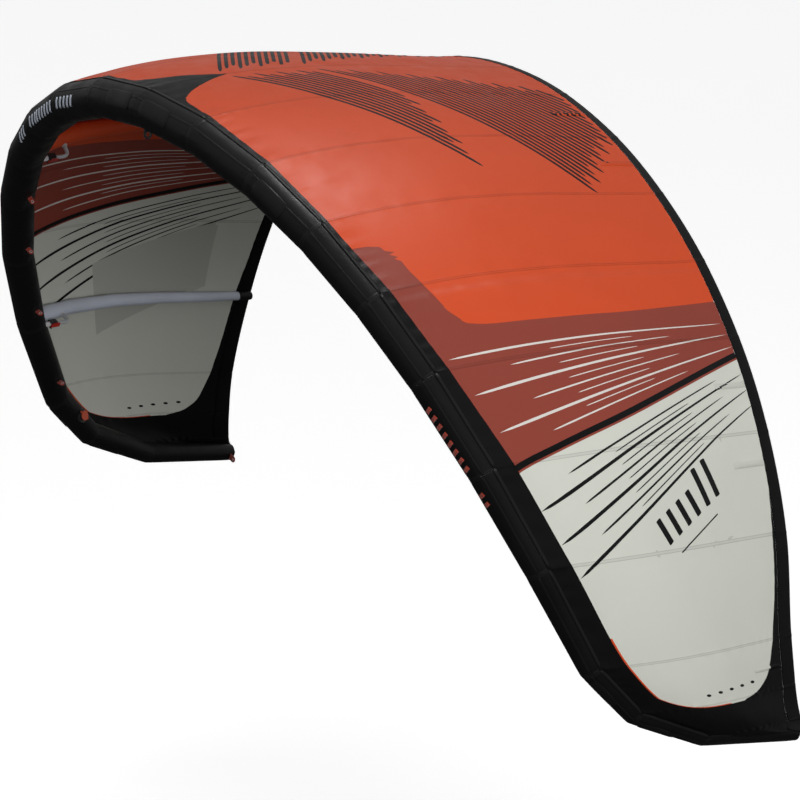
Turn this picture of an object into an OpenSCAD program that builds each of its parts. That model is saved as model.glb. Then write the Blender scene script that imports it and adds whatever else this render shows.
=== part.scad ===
// Leading-edge-inflatable kitesurf kite, about 8 square metres, in its flying attitude.
// X runs along the span, +Y from the leading edge to the trailing edge, +Z up.
// The origin is the middle of the tether eye under the centre of the leading edge.
// "out" is the outward normal of the arch, "back" the chordwise direction towards the trailing edge.

/* [Arch] */
// Steepest angle of the arch, near the wing tip, in degrees
arch_angle = 85.8; // [75:0.1:92]
// Share of the half leading edge at which the arch is steepest
arch_full = 0.845; // [0.75:0.005:0.95]
// How quickly the arch turns down from the centre
arch_power = 1.39; // [1.1:0.01:1.7]
// How much the last tube segments lean back outwards, in degrees
tip_ease = 14.8; // [0:0.1:25]
// Sweep of the leading edge where the tip curl starts, in degrees
sweep_angle = 30.8; // [15:0.1:40]
// How the sweep grows along the span
sweep_power = 0.73; // [0.5:0.01:1.5]
// Sweep at the very end of the leading edge, in degrees
curl_angle = 85.5; // [70:0.1:88]
// How quickly the tip curls
curl_power = 0.8; // [0.6:0.01:1.4]

/* [Canopy] */
// Chord at the centre, from the middle of the tube to the trailing edge
centre_chord = 1664; // [1400:1:1900]
// Chord at the very tip
tip_chord = 40; // [20:1:80]
// Camber at the centre as a share of the chord
camber = 0.028; // [0.02:0.001:0.06]
// Extra camber at the tip
camber_grow = 0.05; // [0:0.001:0.08]
// Pitch of the chord, nose down, in degrees
chord_pitch = 1.95; // [0:0.05:5]
// Thickness of the canopy solid
cloth_t = 1.2; // [1:0.1:2]
// Width of the trailing edge band at the centre
band_w = 34; // [20:1:60]
// Extra width of the trailing edge band at the tip
band_grow = 44; // [0:1:80]

/* [Leading edge] */
// Radius of the leading edge tube at the centre
tube_r = 74; // [60:1:90]
// Radius of the leading edge tube at the tip
tube_tip_r = 34; // [26:1:45]
// How the tube tapers
taper_power = 1.83; // [1:0.01:2.5]
// Thickness of the sleeve cloth
sleeve_t = 1.2; // [0.8:0.1:2]
// Thickness of the bladder film
film_t = 1; // [0.6:0.1:1.5]

/* [Struts] */
// Strut radius at the front as a share of the leading edge radius
strut_share = 0.58; // [0.45:0.01:0.65]
// Strut radius at the rear
strut_tail_r = 17; // [12:0.5:22]

/* [Line points] */
// Radius of the eye in each line tab
eye_r = 4; // [3:0.1:5]
// Radius of the tether eye under the centre of the leading edge
tether_eye_r = 9; // [7:0.1:11]
// How far the tether eye hangs below the tube
tether_drop = 22; // [18:1:30]

/* [Valves and clips] */
// Radius of the pump nozzle's seat in the inflation valve
nozzle_r = 12; // [9:0.1:14]
// Radius of the hose between the leading edge and a strut
hose_r = 8; // [6:0.1:9]

/* [Hidden] */
$fn = 48;

// Widths of the leading edge segments, from the centre to the tip
bay_w = [320, 315, 310, 320, 325, 380, 405, 430, 265, 340, 440];
bays = len(bay_w);
curl_joint = 8;     // the tip starts to curl here
inner_joint = 4;    // an inner strut meets the leading edge here
outer_joint = 7;    // an outer strut meets the leading edge here
chord_exponents = [1.70, 0.696];
camber_gain = 5.65; // makes the camber curve peak at 1
seam_gap = 0.0004;  // share of a bay left open at each panel seam
cloth_gap = 1.6;    // canopy above the tube
fit_gap = 0.3;      // soft pieces from their neighbours
pin_gap = 0.05;     // radial clearance of a hinge pin
cloth_cells = 8;    // chordwise cells of the canopy
tube_sides = 16;

// ---- shape of the leading edge ------------------------------------------------------------

function sum_to(j) = j <= 0 ? 0 : bay_w[j - 1] + sum_to(j - 1);
half_le = sum_to(bays);
function unit(v) = v / norm(v);
function lerp(a, b, t) = a + (b - a) * t;
// j may be a fraction: it counts joints from the centre
function share(j) = (sum_to(floor(j)) + (j - floor(j)) * (j >= bays ? 0 : bay_w[floor(j)])) / half_le;
curl_start = share(curl_joint);
function curl(s) = max(0, (s - curl_start) / (1 - curl_start));
function arch_at(s) =
    arch_angle * (1 - pow(1 - min(1, s / arch_full), arch_power)) - tip_ease * curl(s);
function sweep_at(s) =
    sweep_angle * pow(min(1, s / curl_start), sweep_power)
    + (curl_angle - sweep_angle) * pow(sin(90 * curl(s)), curl_power);
function seg_arch(i) = arch_at(share(i + 0.5));
function seg_sweep(i) = sweep_at(share(i + 0.5));
function seg_dir(i) = let (a = seg_arch(i), s = seg_sweep(i))
    [cos(s) * cos(a), sin(s), -cos(s) * sin(a)];
function seg_out(i) = [sin(seg_arch(i)), 0, cos(seg_arch(i))];
centre = [0, 0, tube_r + tether_drop];
le = [for (j = 0, p = centre; j <= bays; p = j < bays ? p + bay_w[j] * seg_dir(j) : p, j = j + 1) p];
function radius(s) = tube_tip_r + (tube_r - tube_tip_r) * (1 - pow(s, taper_power));
le_r = [for (j = [0:bays]) radius(share(j))];

// ---- frame of each joint ------------------------------------------------------------------

function joint_arch(j) = j == 0 ? 0 : j == bays ? seg_arch(bays - 1)
    : (seg_arch(j - 1) + seg_arch(j)) / 2;
function normal(j) = [sin(joint_arch(j)), 0, cos(joint_arch(j))];
function back(j) = cos(chord_pitch) * [0, 1, 0] + sin(chord_pitch) * normal(j);
function out(j) = cos(chord_pitch) * normal(j) - sin(chord_pitch) * [0, 1, 0];
function along(j) = [cos(joint_arch(j)), 0, -sin(joint_arch(j))];
function main_chord(j) = centre_chord * pow(1 - pow(share(j), chord_exponents[0]), chord_exponents[1]);
// Past the curl the trailing edge runs straight to the tip
function chord(j) = j <= curl_joint ? main_chord(j)
    : lerp(le[curl_joint][1] + main_chord(curl_joint), le[bays][1] + tip_chord, curl(share(j))) - le[j][1];
function mitre(j) = j == 0 ? [1, 0, 0] : j == bays ? seg_dir(bays - 1) : unit(seg_dir(j - 1) + seg_dir(j));

// ---- canopy surface -----------------------------------------------------------------------

function camber_curve(v) = camber_gain * v * pow(1 - v, 1.6);
// At the centre the trailing edge lies level with the tube's middle, at the tip with its outer side
function tip_lift(j) = pow(share(j), 6);
function cloth_h(j, v) = (le_r[j] + cloth_gap + cloth_t) * (1 - v * (1 - tip_lift(j)))
    + (camber + camber_grow * share(j)) * chord(j) * camber_curve(v);
function cloth_pt(j, v, lift = 0) = le[j] + back(j) * chord(j) * v + out(j) * (cloth_h(j, v) + lift);
function between_joints(j, v, lift = 0) = let (k = min(bays - 1, floor(j)))
    lerp(cloth_pt(k, v, lift), cloth_pt(k + 1, v, lift), j - k);
function band_at(j) = min(chord(j) * 0.6, band_w + band_grow * share(j));
function band_v(j) = let (k = min(bays - 1, floor(j)), f = j - k)
    1 - lerp(band_at(k) / chord(k), band_at(k + 1) / chord(k + 1), f);

// ---- general builders ---------------------------------------------------------------------

function flat(rows) = [for (r = rows) for (p = r) p];
function cell(a, b, c, d) = [[a, b, c], [a, c, d]];
function turned(faces) = [for (f = faces) [f[2], f[1], f[0]]];
// Faces of a closed sheet: the grid of points first on its top, then again on its underside
function sheet_faces(n, m) = let (o = n * m) turned(concat(
    [for (i = [0:n - 2]) for (k = [0:m - 2])
        for (t = cell(i * m + k, i * m + k + 1, (i + 1) * m + k + 1, (i + 1) * m + k)) t],
    [for (i = [0:n - 2]) for (k = [0:m - 2])
        for (t = cell(o + (i + 1) * m + k, o + (i + 1) * m + k + 1, o + i * m + k + 1, o + i * m + k)) t],
    [for (k = [0:m - 2]) for (t = cell(o + k, o + k + 1, k + 1, k)) t],
    [for (k = [0:m - 2]) let (e = (n - 1) * m + k) for (t = cell(e, e + 1, o + e + 1, o + e)) t],
    [for (i = [0:n - 2]) let (e = i * m) for (t = cell(e, e + m, o + e + m, o + e)) t],
    [for (i = [0:n - 2]) let (e = i * m + m - 1) for (t = cell(o + e, o + e + m, e + m, e)) t]
));
module sheet(top, bottom) {
    n = len(top);
    m = len(top[0]);
    polyhedron(points = concat(flat(top), flat(bottom)), faces = sheet_faces(n, m));
}

// A tube of round rings swept along a path; ref is a sideways direction for each ring
function ring_at(p, m, ref, r) = let (a = unit(ref - m * (ref * m)), b = cross(m, a))
    [for (k = [0:tube_sides - 1]) let (t = 360 * k / tube_sides) p + r * (a * cos(t) + b * sin(t))];
module swept(path, dirs, refs, radii) {
    n = len(path);
    rings = [for (i = [0:n - 1]) ring_at(path[i], dirs[i], refs[i], radii[i])];
    sides = [for (i = [0:n - 2]) for (k = [0:tube_sides - 1]) let (q = (k + 1) % tube_sides)
        for (t = cell(i * tube_sides + k, i * tube_sides + q,
                      (i + 1) * tube_sides + q, (i + 1) * tube_sides + k)) t];
    first = [for (k = [1:tube_sides - 2]) [0, k + 1, k]];
    e = (n - 1) * tube_sides;
    last = [for (k = [1:tube_sides - 2]) [e, e + k, e + k + 1]];
    polyhedron(points = flat(rings), faces = turned(concat(sides, first, last)));
}

// The same path with its two ends pulled in by t
function inside_ends(p, dirs, t) = let (n = len(p) - 1)
    [for (i = [0:n]) i == 0 ? p[0] + dirs[0] * t : i == n ? p[n] - dirs[n] * t : p[i]];

module place(o, x, y, z) {
    multmatrix([[x[0], y[0], z[0], o[0]], [x[1], y[1], z[1], o[1]], [x[2], y[2], z[2], o[2]], [0, 0, 0, 1]])
        children();
}
// z along the path at o; the sideways axes are free
module facing(o, z) {
    ref = abs(z[2]) < 0.9 ? [0, 0, 1] : [1, 0, 0];
    x = unit(cross(ref, z));
    place(o, x, cross(z, x), z) children();
}
module cone(a, b, ra, rb, grow = 0) {
    d = b - a;
    slope = (rb - ra) / norm(d);
    facing(a, unit(d)) translate([0, 0, -grow])
        cylinder(h = norm(d) + 2 * grow, r1 = ra - grow * slope, r2 = rb + grow * slope);
}
module half_space(o, z) {
    reach = 400;
    facing(o, z) translate([-reach, -reach, 0]) cube([2 * reach, 2 * reach, reach]);
}
// One tapered piece of a tube, cut at its mitred ends
module tube_piece(a, b, ra, rb, za, zb, wall) {
    grow = 40;
    cut = 0.05;
    difference() {
        cone(a, b, ra, rb, grow);
        if (wall > 0) cone(a, b, ra - wall, rb - wall, 2 * grow);
        half_space(a + za * cut, -za);
        half_space(b - zb * cut, zb);
    }
}
module both_sides() {
    children();
    mirror([1, 0, 0]) children();
}
module side(s) {
    if (s > 0) children();
    else mirror([1, 0, 0]) children();
}

// ---- leading edge -------------------------------------------------------------------------

module le_piece(i, wall, shrink = 0) {
    tube_piece(le[i], le[i + 1], le_r[i] - shrink, le_r[i + 1] - shrink, mitre(i), mitre(i + 1), wall);
}
// x back, y outward, z along the tube, at share f of segment i, turned by angle about the tube
module on_tube(i, f, turn = 0) {
    z = seg_dir(i);
    y = seg_out(i);
    place(lerp(le[i], le[i + 1], f), cross(y, z), y, z) rotate([0, 0, turn]) children();
}
function tube_r_at(i, f) = lerp(le_r[i], le_r[i + 1], f);
// A patch of cloth or plastic lying on segment i, centred at share f, facing the angle turn
module tube_patch(i, f, turn, length, width, t, lift = 0.1) {
    slope = (le_r[i + 1] - le_r[i]) / bay_w[i];
    under = tube_r_at(i, f) + lift;
    top = under + t;
    on_tube(i, f, turn) intersection() {
        difference() {
            translate([0, 0, -length / 2])
                cylinder(h = length, r1 = top - slope * length / 2, r2 = top + slope * length / 2);
            translate([0, 0, -length])
                cylinder(h = 2 * length, r1 = under - slope * length, r2 = under + slope * length);
        }
        translate([0, -width / 2, -length / 2]) cube([2 * tube_r, width, length]);
    }
}

module valve_hole(r) {
    depth = 40;
    translate([0, 0, -depth]) cylinder(h = 2 * depth, r = r);
}
module le_sleeve_side(s) {
    color([0.05, 0.05, 0.06]) side(s) for (i = [0:bays - 1]) difference() {
        le_piece(i, sleeve_t);
        if (s > 0 && i == valve_seg) on_valve(i, valve_f, valve_turn) valve_hole(chamber_r);
        if (s < 0 && i == dump_seg) on_valve(i, dump_f, dump_turn) valve_hole(dump_r);
    }
}
module le_sleeve_right() { le_sleeve_side(1); }
module le_sleeve_left() { le_sleeve_side(-1); }

function flip(v) = [-v[0], v[1], v[2]];
module le_bladder() {
    clear = sleeve_t + 0.6;
    end = bays - 1;
    tip = lerp(le[end], le[bays], 0.97);
    half = concat([for (j = [1:end]) le[j]], [tip]);
    path = concat([for (j = [end:-1:0]) flip(half[j])], [le[0]], half);
    turn = concat([for (j = [1:end]) mitre(j)], [seg_dir(end)]);
    dirs = concat([for (j = [end:-1:0]) -flip(turn[j])], [[1, 0, 0]], turn);
    side_ref = concat([for (j = [1:end]) normal(j)], [seg_out(end)]);
    refs = concat([for (j = [end:-1:0]) flip(side_ref[j])], [[0, 0, 1]], side_ref);
    rad = concat([for (j = [1:end]) le_r[j] - clear], [tube_r_at(end, 0.97) - clear]);
    radii = concat([for (j = [end:-1:0]) rad[j]], [le_r[0] - clear], rad);
    n = len(path) - 1;
    inner_path = inside_ends(path, dirs, film_t);
    color([0.82, 0.84, 0.86]) difference() {
        swept(path, dirs, refs, radii);
        swept(inner_path, dirs, refs, [for (r = radii) r - film_t]);
    }
}

// ---- canopy -------------------------------------------------------------------------------

module canopy_bay(i) {
    js = [i + seam_gap, i + 1 - seam_gap];
    vs = [for (k = [0:cloth_cells]) k / cloth_cells];
    sheet(
        [for (j = js) [for (v = vs) between_joints(j, v * band_v(j))]],
        [for (j = js) [for (v = vs) between_joints(j, v * band_v(j), -cloth_t)]]
    );
}
module canopy_run(first, last) {
    for (i = [first:last]) canopy_bay(i);
}
orange = [0.80, 0.30, 0.18];
deep_red = [0.52, 0.25, 0.21];
tip_white = [0.80, 0.80, 0.76];
black = [0.05, 0.05, 0.06];
module canopy_centre() { color(orange) both_sides() canopy_run(0, inner_joint - 1); }
module canopy_mid_right() { color(deep_red) canopy_run(inner_joint, outer_joint - 1); }
module canopy_mid_left() { color(deep_red) side(-1) canopy_run(inner_joint, outer_joint - 1); }
module canopy_tip_right() { color(tip_white) canopy_run(outer_joint, bays - 1); }
module canopy_tip_left() { color(tip_white) side(-1) canopy_run(outer_joint, bays - 1); }

band_extra = 0.6;   // the band is thicker than the cloth it ends
module te_band(s) {
    color(black) side(s) for (i = [0:bays - 1]) {
        js = [i + seam_gap, i + 1 - seam_gap];
        sheet(
            [for (j = js) [for (v = [band_v(j) + 0.0005, 1]) between_joints(j, v, band_extra)]],
            [for (j = js) [for (v = [band_v(j) + 0.0005, 1]) between_joints(j, v, -cloth_t - band_extra)]]
        );
    }
}
module te_band_right() { te_band(1); }
module te_band_left() { te_band(-1); }

batten_joints = [1.5, 2.5, 5.5, 6.3, 8.5];
module te_battens() {
    width = 14;
    length = 150;
    lift = 1.4;
    color([0.15, 0.15, 0.16]) both_sides() for (j = batten_joints) {
        half = width / 2 / bay_w[floor(j)];
        front = band_v(j) - 0.004 - length / chord(floor(j));
        vs = [front, (front + band_v(j)) / 2, band_v(j) - 0.004];
        js = [j - half, j + half];
        sheet(
            [for (q = js) [for (v = vs) between_joints(q, v, lift + 2)]],
            [for (q = js) [for (v = vs) between_joints(q, v, lift)]]
        );
    }
}

// Black pointed reinforcement over the centre strut, from the leading edge backwards
module centre_spur_patch() {
    reach = 0.2;
    lift = 0.6;
    vs = [for (k = [0:6]) reach * k / 6];
    function half_w(v) = 0.55 * pow(max(0, 1 - v / reach), 1.3) + 0.02;
    color(black) both_sides() sheet(
        [for (f = [0.01, 1]) [for (v = vs) between_joints(f * half_w(v), v + 0.004, lift + 1)]],
        [for (f = [0.01, 1]) [for (v = vs) between_joints(f * half_w(v), v + 0.004, lift)]]
    );
}

// ---- struts -------------------------------------------------------------------------------

strut_v = [0.2, 0.4, 0.6, 0.8];
strut_end = 0.985;
function strut_front(j) = le_r[j] * 0.5 / chord(j);
function strut_vs(j) = concat([strut_front(j)], strut_v, [strut_end]);
function strut_r(j, v) = lerp(le_r[j] * strut_share, strut_tail_r, v);
strut_drop = 2.6;   // strut below the cloth
function strut_pt(j, v) = le[j] + back(j) * chord(j) * v
    + out(j) * (cloth_h(j, v) - cloth_t - strut_drop - strut_r(j, v));
function strut_path(j) = [for (v = strut_vs(j)) strut_pt(j, v)];
// Middle of the sewn sleeve, which runs straight between its seams
function strut_axis(j, v, k = 0) = let (vs = strut_vs(j))
    k == len(vs) - 2 || v < vs[k + 1]
        ? lerp(strut_pt(j, vs[k]), strut_pt(j, vs[k + 1]), (v - vs[k]) / (vs[k + 1] - vs[k]))
        : strut_axis(j, v, k + 1);
function path_dir(p, i) = i == 0 ? unit(p[1] - p[0]) : i == len(p) - 1 ? unit(p[i] - p[i - 1])
    : unit(unit(p[i] - p[i - 1]) + unit(p[i + 1] - p[i]));
// The leading edge round joint j, grown by gap, for cutting away what would reach into it
module le_envelope(j, gap) {
    overlap = 2;
    if (j > 0) cone(le[j - 1], le[j], le_r[j - 1] + gap, le_r[j] + gap, overlap);
    if (j < bays) cone(le[j], le[j + 1], le_r[j] + gap, le_r[j + 1] + gap, overlap);
    if (j == 0) mirror([1, 0, 0]) cone(le[0], le[1], le_r[0] + gap, le_r[1] + gap, overlap);
}
module strut_sleeve(j) {
    p = strut_path(j);
    vs = strut_vs(j);
    last = len(p) - 2;
    for (i = [0:last]) difference() {
        tube_piece(p[i], p[i + 1], strut_r(j, vs[i]), strut_r(j, vs[i + 1]),
                   path_dir(p, i), path_dir(p, i + 1), sleeve_t);
        if (i == 0) le_envelope(j, 0.2);
    }
    facing(p[last + 1] - path_dir(p, last + 1) * 2, path_dir(p, last + 1))
        cylinder(h = 1.9, r = strut_r(j, strut_end) - sleeve_t - 0.1);
}
module strut_bladder(j) {
    inset = sleeve_t + 0.8;
    vs = concat([(le_r[j] + 22) / chord(j)], strut_v, [strut_end - 12 / chord(j)]);
    p = [for (v = vs) strut_axis(j, v)];
    n = len(p) - 1;
    dirs = [for (i = [0:n]) path_dir(p, i)];
    refs = [for (i = [0:n]) along(j)];
    radii = [for (v = vs) strut_r(j, v) - inset];
    inner = inside_ends(p, dirs, film_t);
    color([0.82, 0.84, 0.86]) difference() {
        swept(p, dirs, refs, radii);
        swept(inner, dirs, refs, [for (r = radii) r - film_t]);
    }
}
strut_grey = [0.72, 0.74, 0.80];
module strut_centre() { color(black) strut_sleeve(0); }
module strut_inner_right() { color(orange) strut_sleeve(inner_joint); }
module strut_inner_left() { color(orange) side(-1) strut_sleeve(inner_joint); }
module strut_outer_right() { color(strut_grey) strut_sleeve(outer_joint); }
module strut_outer_left() { color(strut_grey) side(-1) strut_sleeve(outer_joint); }
module strut_bladder_centre() { strut_bladder(0); }
module strut_bladder_inner_right() { strut_bladder(inner_joint); }
module strut_bladder_inner_left() { side(-1) strut_bladder(inner_joint); }
module strut_bladder_outer_right() { strut_bladder(outer_joint); }
module strut_bladder_outer_left() { side(-1) strut_bladder(outer_joint); }

// Abrasion caps round the tail of each strut
module strut_tail_pad(j) {
    length = 60;
    t = 1.5;
    a = strut_pt(j, strut_v[3]);
    b = strut_pt(j, strut_end);
    ra = strut_r(j, strut_v[3]);
    rb = strut_r(j, strut_end);
    d = unit(b - a);
    r_front = lerp(rb, ra, length / norm(b - a));
    difference() {
        cone(b - d * length, b, r_front + 0.1 + t, rb + 0.1 + t);
        cone(b - d * length, b, r_front + 0.1, rb + 0.1, 5);
        place(b, along(j), back(j), out(j)) translate([-100, -150, 0]) cube([200, 300, 100]);
    }
}
module strut_tail_pads() {
    color(black) {
        strut_tail_pad(0);
        both_sides() {
            strut_tail_pad(inner_joint);
            strut_tail_pad(outer_joint);
        }
    }
}

// ---- line points --------------------------------------------------------------------------

// Webbing tab standing out of the tube: x outward from the tube, z along it
tab_t = 5;
module tab(r, reach, width, hole) {
    difference() {
        union() {
            translate([r - 4, -width / 2, -tab_t / 2]) cube([reach + 4 - width / 2, width, tab_t]);
            translate([r + reach - width / 2, 0, -tab_t / 2]) cylinder(h = tab_t, d = width);
        }
        translate([0, 0, -tab_t]) cylinder(h = 2 * tab_t, r = r + 0.1);
        translate([r + reach - width / 2, 0, -tab_t]) cylinder(h = 2 * tab_t, r = hole);
    }
}
bridle_segments = [4, 5, 6, 7];
bridle_f = 0.72;
bridle_turn = -78;  // below the tube and a little behind its lowest line
bridle_reach = 34;
bridle_w = 20;
module bridle_tabs_right() {
    color([0.75, 0.28, 0.16]) for (i = bridle_segments)
        on_tube(i, bridle_f, bridle_turn) tab(tube_r_at(i, bridle_f) + 0.1, bridle_reach, bridle_w, eye_r);
}
module bridle_tabs_left() { side(-1) bridle_tabs_right(); }
module bridle_patches() {
    color(black) both_sides() for (i = bridle_segments) difference() {
        tube_patch(i, bridle_f, bridle_turn, 70, 40, 1.2);
        on_tube(i, bridle_f, bridle_turn) translate([0, -bridle_w / 2 - 0.1, -tab_t / 2 - 0.1])
            cube([200, bridle_w + 0.2, tab_t + 0.2]);
    }
}

rear_reach = 38;
rear_w = 26;
module rear_tab() {
    i = bays - 1;
    f = 0.955;
    on_tube(i, f, -90) tab(tube_r_at(i, f) + 0.1, rear_reach, rear_w, eye_r);
}
module rear_tab_right() { color([0.75, 0.28, 0.16]) rear_tab(); }
module rear_tab_left() { color([0.75, 0.28, 0.16]) side(-1) rear_tab(); }

module tether_tab() {
    width = 36;
    color([0.12, 0.12, 0.13]) difference() {
        union() {
            translate([-tab_t / 2, -width / 2, 0]) cube([tab_t, width, tether_drop + 6]);
            translate([-tab_t / 2, 0, 0]) rotate([0, 90, 0]) cylinder(h = tab_t, d = width);
        }
        translate([-50, 0, 0]) rotate([0, 90, 0]) cylinder(h = 100, r = tether_eye_r);
        le_envelope(0, 0.6);
    }
}

// ---- inflation valve ----------------------------------------------------------------------

valve_seg = 0;
valve_f = 0.55;
valve_turn = -48;
flap_r = 14;
neck_r = 19;
chamber_r = flap_r + 1;
chamber_h = 15;
seat_h = 12;
valve_top = chamber_h + seat_h;
hinge_x = neck_r + 5;
hinge_pin_r = 1.5;
valve_base_r = 30;
// In a valve's own frame z points out of the tube and z = 0 is on its surface; x is along the tube
module on_valve(i, f, turn) {
    on_tube(i, f, turn) translate([tube_r_at(i, f), 0, 0]) rotate([0, 90, 0]) children();
}
module hinge_ears(x, z, knuckle, ear, reach) {
    for (k = [-1, 1]) translate([x, k * (knuckle / 2 + 0.2 + ear / 2), z]) rotate([90, 0, 0])
        cylinder(h = ear, r = 3.4, center = true);
    for (k = [-1, 1]) translate([x - reach, k * (knuckle / 2 + 0.2 + ear / 2) - ear / 2, z - 3.4])
        cube([reach, ear, 3.4]);
    translate([x, 0, z]) rotate([90, 0, 0]) cylinder(h = knuckle + 2, r = hinge_pin_r, center = true);
}
module hinge_knuckle(x, z, knuckle, reach, drop) {
    difference() {
        union() {
            translate([x, 0, z]) rotate([90, 0, 0]) cylinder(h = knuckle, r = 3.2, center = true);
            translate([x - reach, -knuckle / 2, z + drop]) cube([reach, knuckle, 3.2 - drop]);
        }
        translate([x, 0, z]) rotate([90, 0, 0])
            cylinder(h = knuckle + 2, r = hinge_pin_r + pin_gap, center = true);
    }
}
module inflate_valve_body() {
    color([0.18, 0.18, 0.2]) difference() {
        on_valve(valve_seg, valve_f, valve_turn) difference() {
            union() {
                translate([0, 0, -12]) cylinder(h = 16, r = valve_base_r);
                cylinder(h = valve_top, r = neck_r);
                hinge_ears(hinge_x, valve_top - 1, 8, 4, hinge_x - neck_r + 2);
            }
            translate([0, 0, -20]) cylinder(h = 20 + chamber_h, r = chamber_r);
            cylinder(h = valve_top + 1, r = nozzle_r);
        }
        le_piece(valve_seg, 0, -0.15);
    }
}
cap_gap = 0.4;
cap_h = 3.2;
module inflate_valve_cap() {
    color([0.78, 0.3, 0.18]) on_valve(valve_seg, valve_f, valve_turn) {
        translate([0, 0, valve_top + cap_gap]) cylinder(h = cap_h, r = neck_r - 0.5);
        translate([-neck_r - 4, -5, valve_top + cap_gap]) cube([6, 10, cap_h]);
        hinge_knuckle(hinge_x, valve_top - 1, 8, hinge_x - neck_r + 2, 1.4);
    }
}
module inflate_check_flap() {
    color([0.3, 0.3, 0.32]) on_valve(valve_seg, valve_f, valve_turn)
        translate([0, 0, chamber_h - 1.9]) cylinder(h = 1.6, r = flap_r);
}

// ---- deflation valve ----------------------------------------------------------------------

dump_seg = 8;
dump_f = 0.5;
dump_turn = -60;
dump_r = 16;
dump_neck_r = 21;
dump_top = 10;
dump_hinge_x = dump_neck_r + 5;
module dump_valve_body() {
    color([0.18, 0.18, 0.2]) side(-1) difference() {
        on_valve(dump_seg, dump_f, dump_turn) difference() {
            union() {
                translate([0, 0, -16]) cylinder(h = 19, r = dump_neck_r + 8);
                cylinder(h = dump_top, r = dump_neck_r);
                hinge_ears(dump_hinge_x, dump_top - 1, 8, 4, dump_hinge_x - dump_neck_r + 2);
            }
            translate([0, 0, -30]) cylinder(h = 60, r = dump_r);
        }
        le_piece(dump_seg, 0, -0.15);
    }
}
module dump_valve_cap() {
    color([0.78, 0.3, 0.18]) side(-1) on_valve(dump_seg, dump_f, dump_turn) {
        translate([0, 0, dump_top + cap_gap]) cylinder(h = cap_h, r = dump_neck_r - 0.5);
        translate([-dump_neck_r - 4, -5, dump_top + cap_gap]) cube([6, 10, cap_h]);
        hinge_knuckle(dump_hinge_x, dump_top - 1, 8, dump_hinge_x - dump_neck_r + 2, 1.4);
    }
}

// ---- one-pump hoses and their clips -------------------------------------------------------

// In a strut's own frame x is spanwise, y back along the chord, z outward, from the tube's middle
module at_strut(j) { place(le[j], along(j), back(j), out(j)) children(); }
hose_z = -30;
hose_bend = 22;
elbow_len = 20;
function hose_start(j) = le_r[j] + 12;
function hose_rise_y(j) = le_r[j] + 112;
function strut_under(j, y) = let (v = y / chord(j)) cloth_h(j, v) - cloth_t - strut_drop - 2 * strut_r(j, v);
function hose_path(j, grow) = let (rise = hose_rise_y(j), turn_y = rise - hose_bend) concat(
    [[0, hose_start(j) - grow, hose_z]],
    [for (a = [0:18:90]) [0, turn_y + hose_bend * sin(a), hose_z + hose_bend * (1 - cos(a))]],
    [[0, rise, hose_top(j) + grow]]
);
module hose_bar(j, r, grow = 0) {
    p = hose_path(j, grow);
    n = len(p) - 1;
    swept(p, [for (i = [0:n]) path_dir(p, i)], [for (i = [0:n]) [1, 0, 0]], [for (i = [0:n]) r]);
}
hose_wall = 2.5;
module hose(j) {
    difference() {
        hose_bar(j, hose_r);
        hose_bar(j, hose_r - hose_wall, 1);
    }
}
function hose_top(j) = strut_under(j, hose_rise_y(j)) - 9;
barb_r = hose_r - hose_wall - 0.3;
barb_in = 8;
module elbow(j) {
    rise = hose_rise_y(j);
    from = le_r[j] - 20;
    up = 20;
    difference() {
        union() {
            translate([0, from, hose_z]) rotate([-90, 0, 0])
                cylinder(h = hose_start(j) + barb_in - from, r = barb_r);
            translate([0, from, hose_z]) rotate([-90, 0, 0])
                cylinder(h = hose_start(j) - 0.2 - from, r = hose_r + 3);
            translate([0, rise, hose_top(j) - barb_in]) cylinder(h = up, r = barb_r);
            translate([0, rise, hose_top(j) + 0.2]) cylinder(h = up, r = hose_r + 3);
        }
        translate([0, 0, hose_z]) rotate([-90, 0, 0]) cylinder(h = 300, r = barb_r - 1.5);
        translate([0, rise, hose_z]) cylinder(h = 300, r = barb_r - 1.5);
    }
}
module every_strut() {
    at_strut(0) { $j = 0; children(); }
    both_sides() at_strut(inner_joint) { $j = inner_joint; children(); }
    both_sides() at_strut(outer_joint) { $j = outer_joint; children(); }
}
module one_pump_hoses() { color([0.75, 0.76, 0.78]) every_strut() hose($j); }
module strut_envelope(j, gap) {
    p = strut_path(j);
    vs = strut_vs(j);
    cone(p[0], p[1], strut_r(j, vs[0]) + gap, strut_r(j, vs[1]) + gap);
}
module elbow_pair(j) {
    difference() {
        at_strut(j) elbow(j);
        le_envelope(j, 0.15);
        strut_envelope(j, 0.15);
    }
}
module hose_elbows() {
    color([0.85, 0.85, 0.86]) {
        elbow_pair(0);
        both_sides() elbow_pair(inner_joint);
        both_sides() elbow_pair(outer_joint);
    }
}

clip_len = 34;
clip_w = 26;
clip_base_t = 5;
clip_y = 14;
lever_t = 4;
clip_half = hose_r + fit_gap;
lever_pin_z = -clip_half - lever_t - 0.5;
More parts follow.
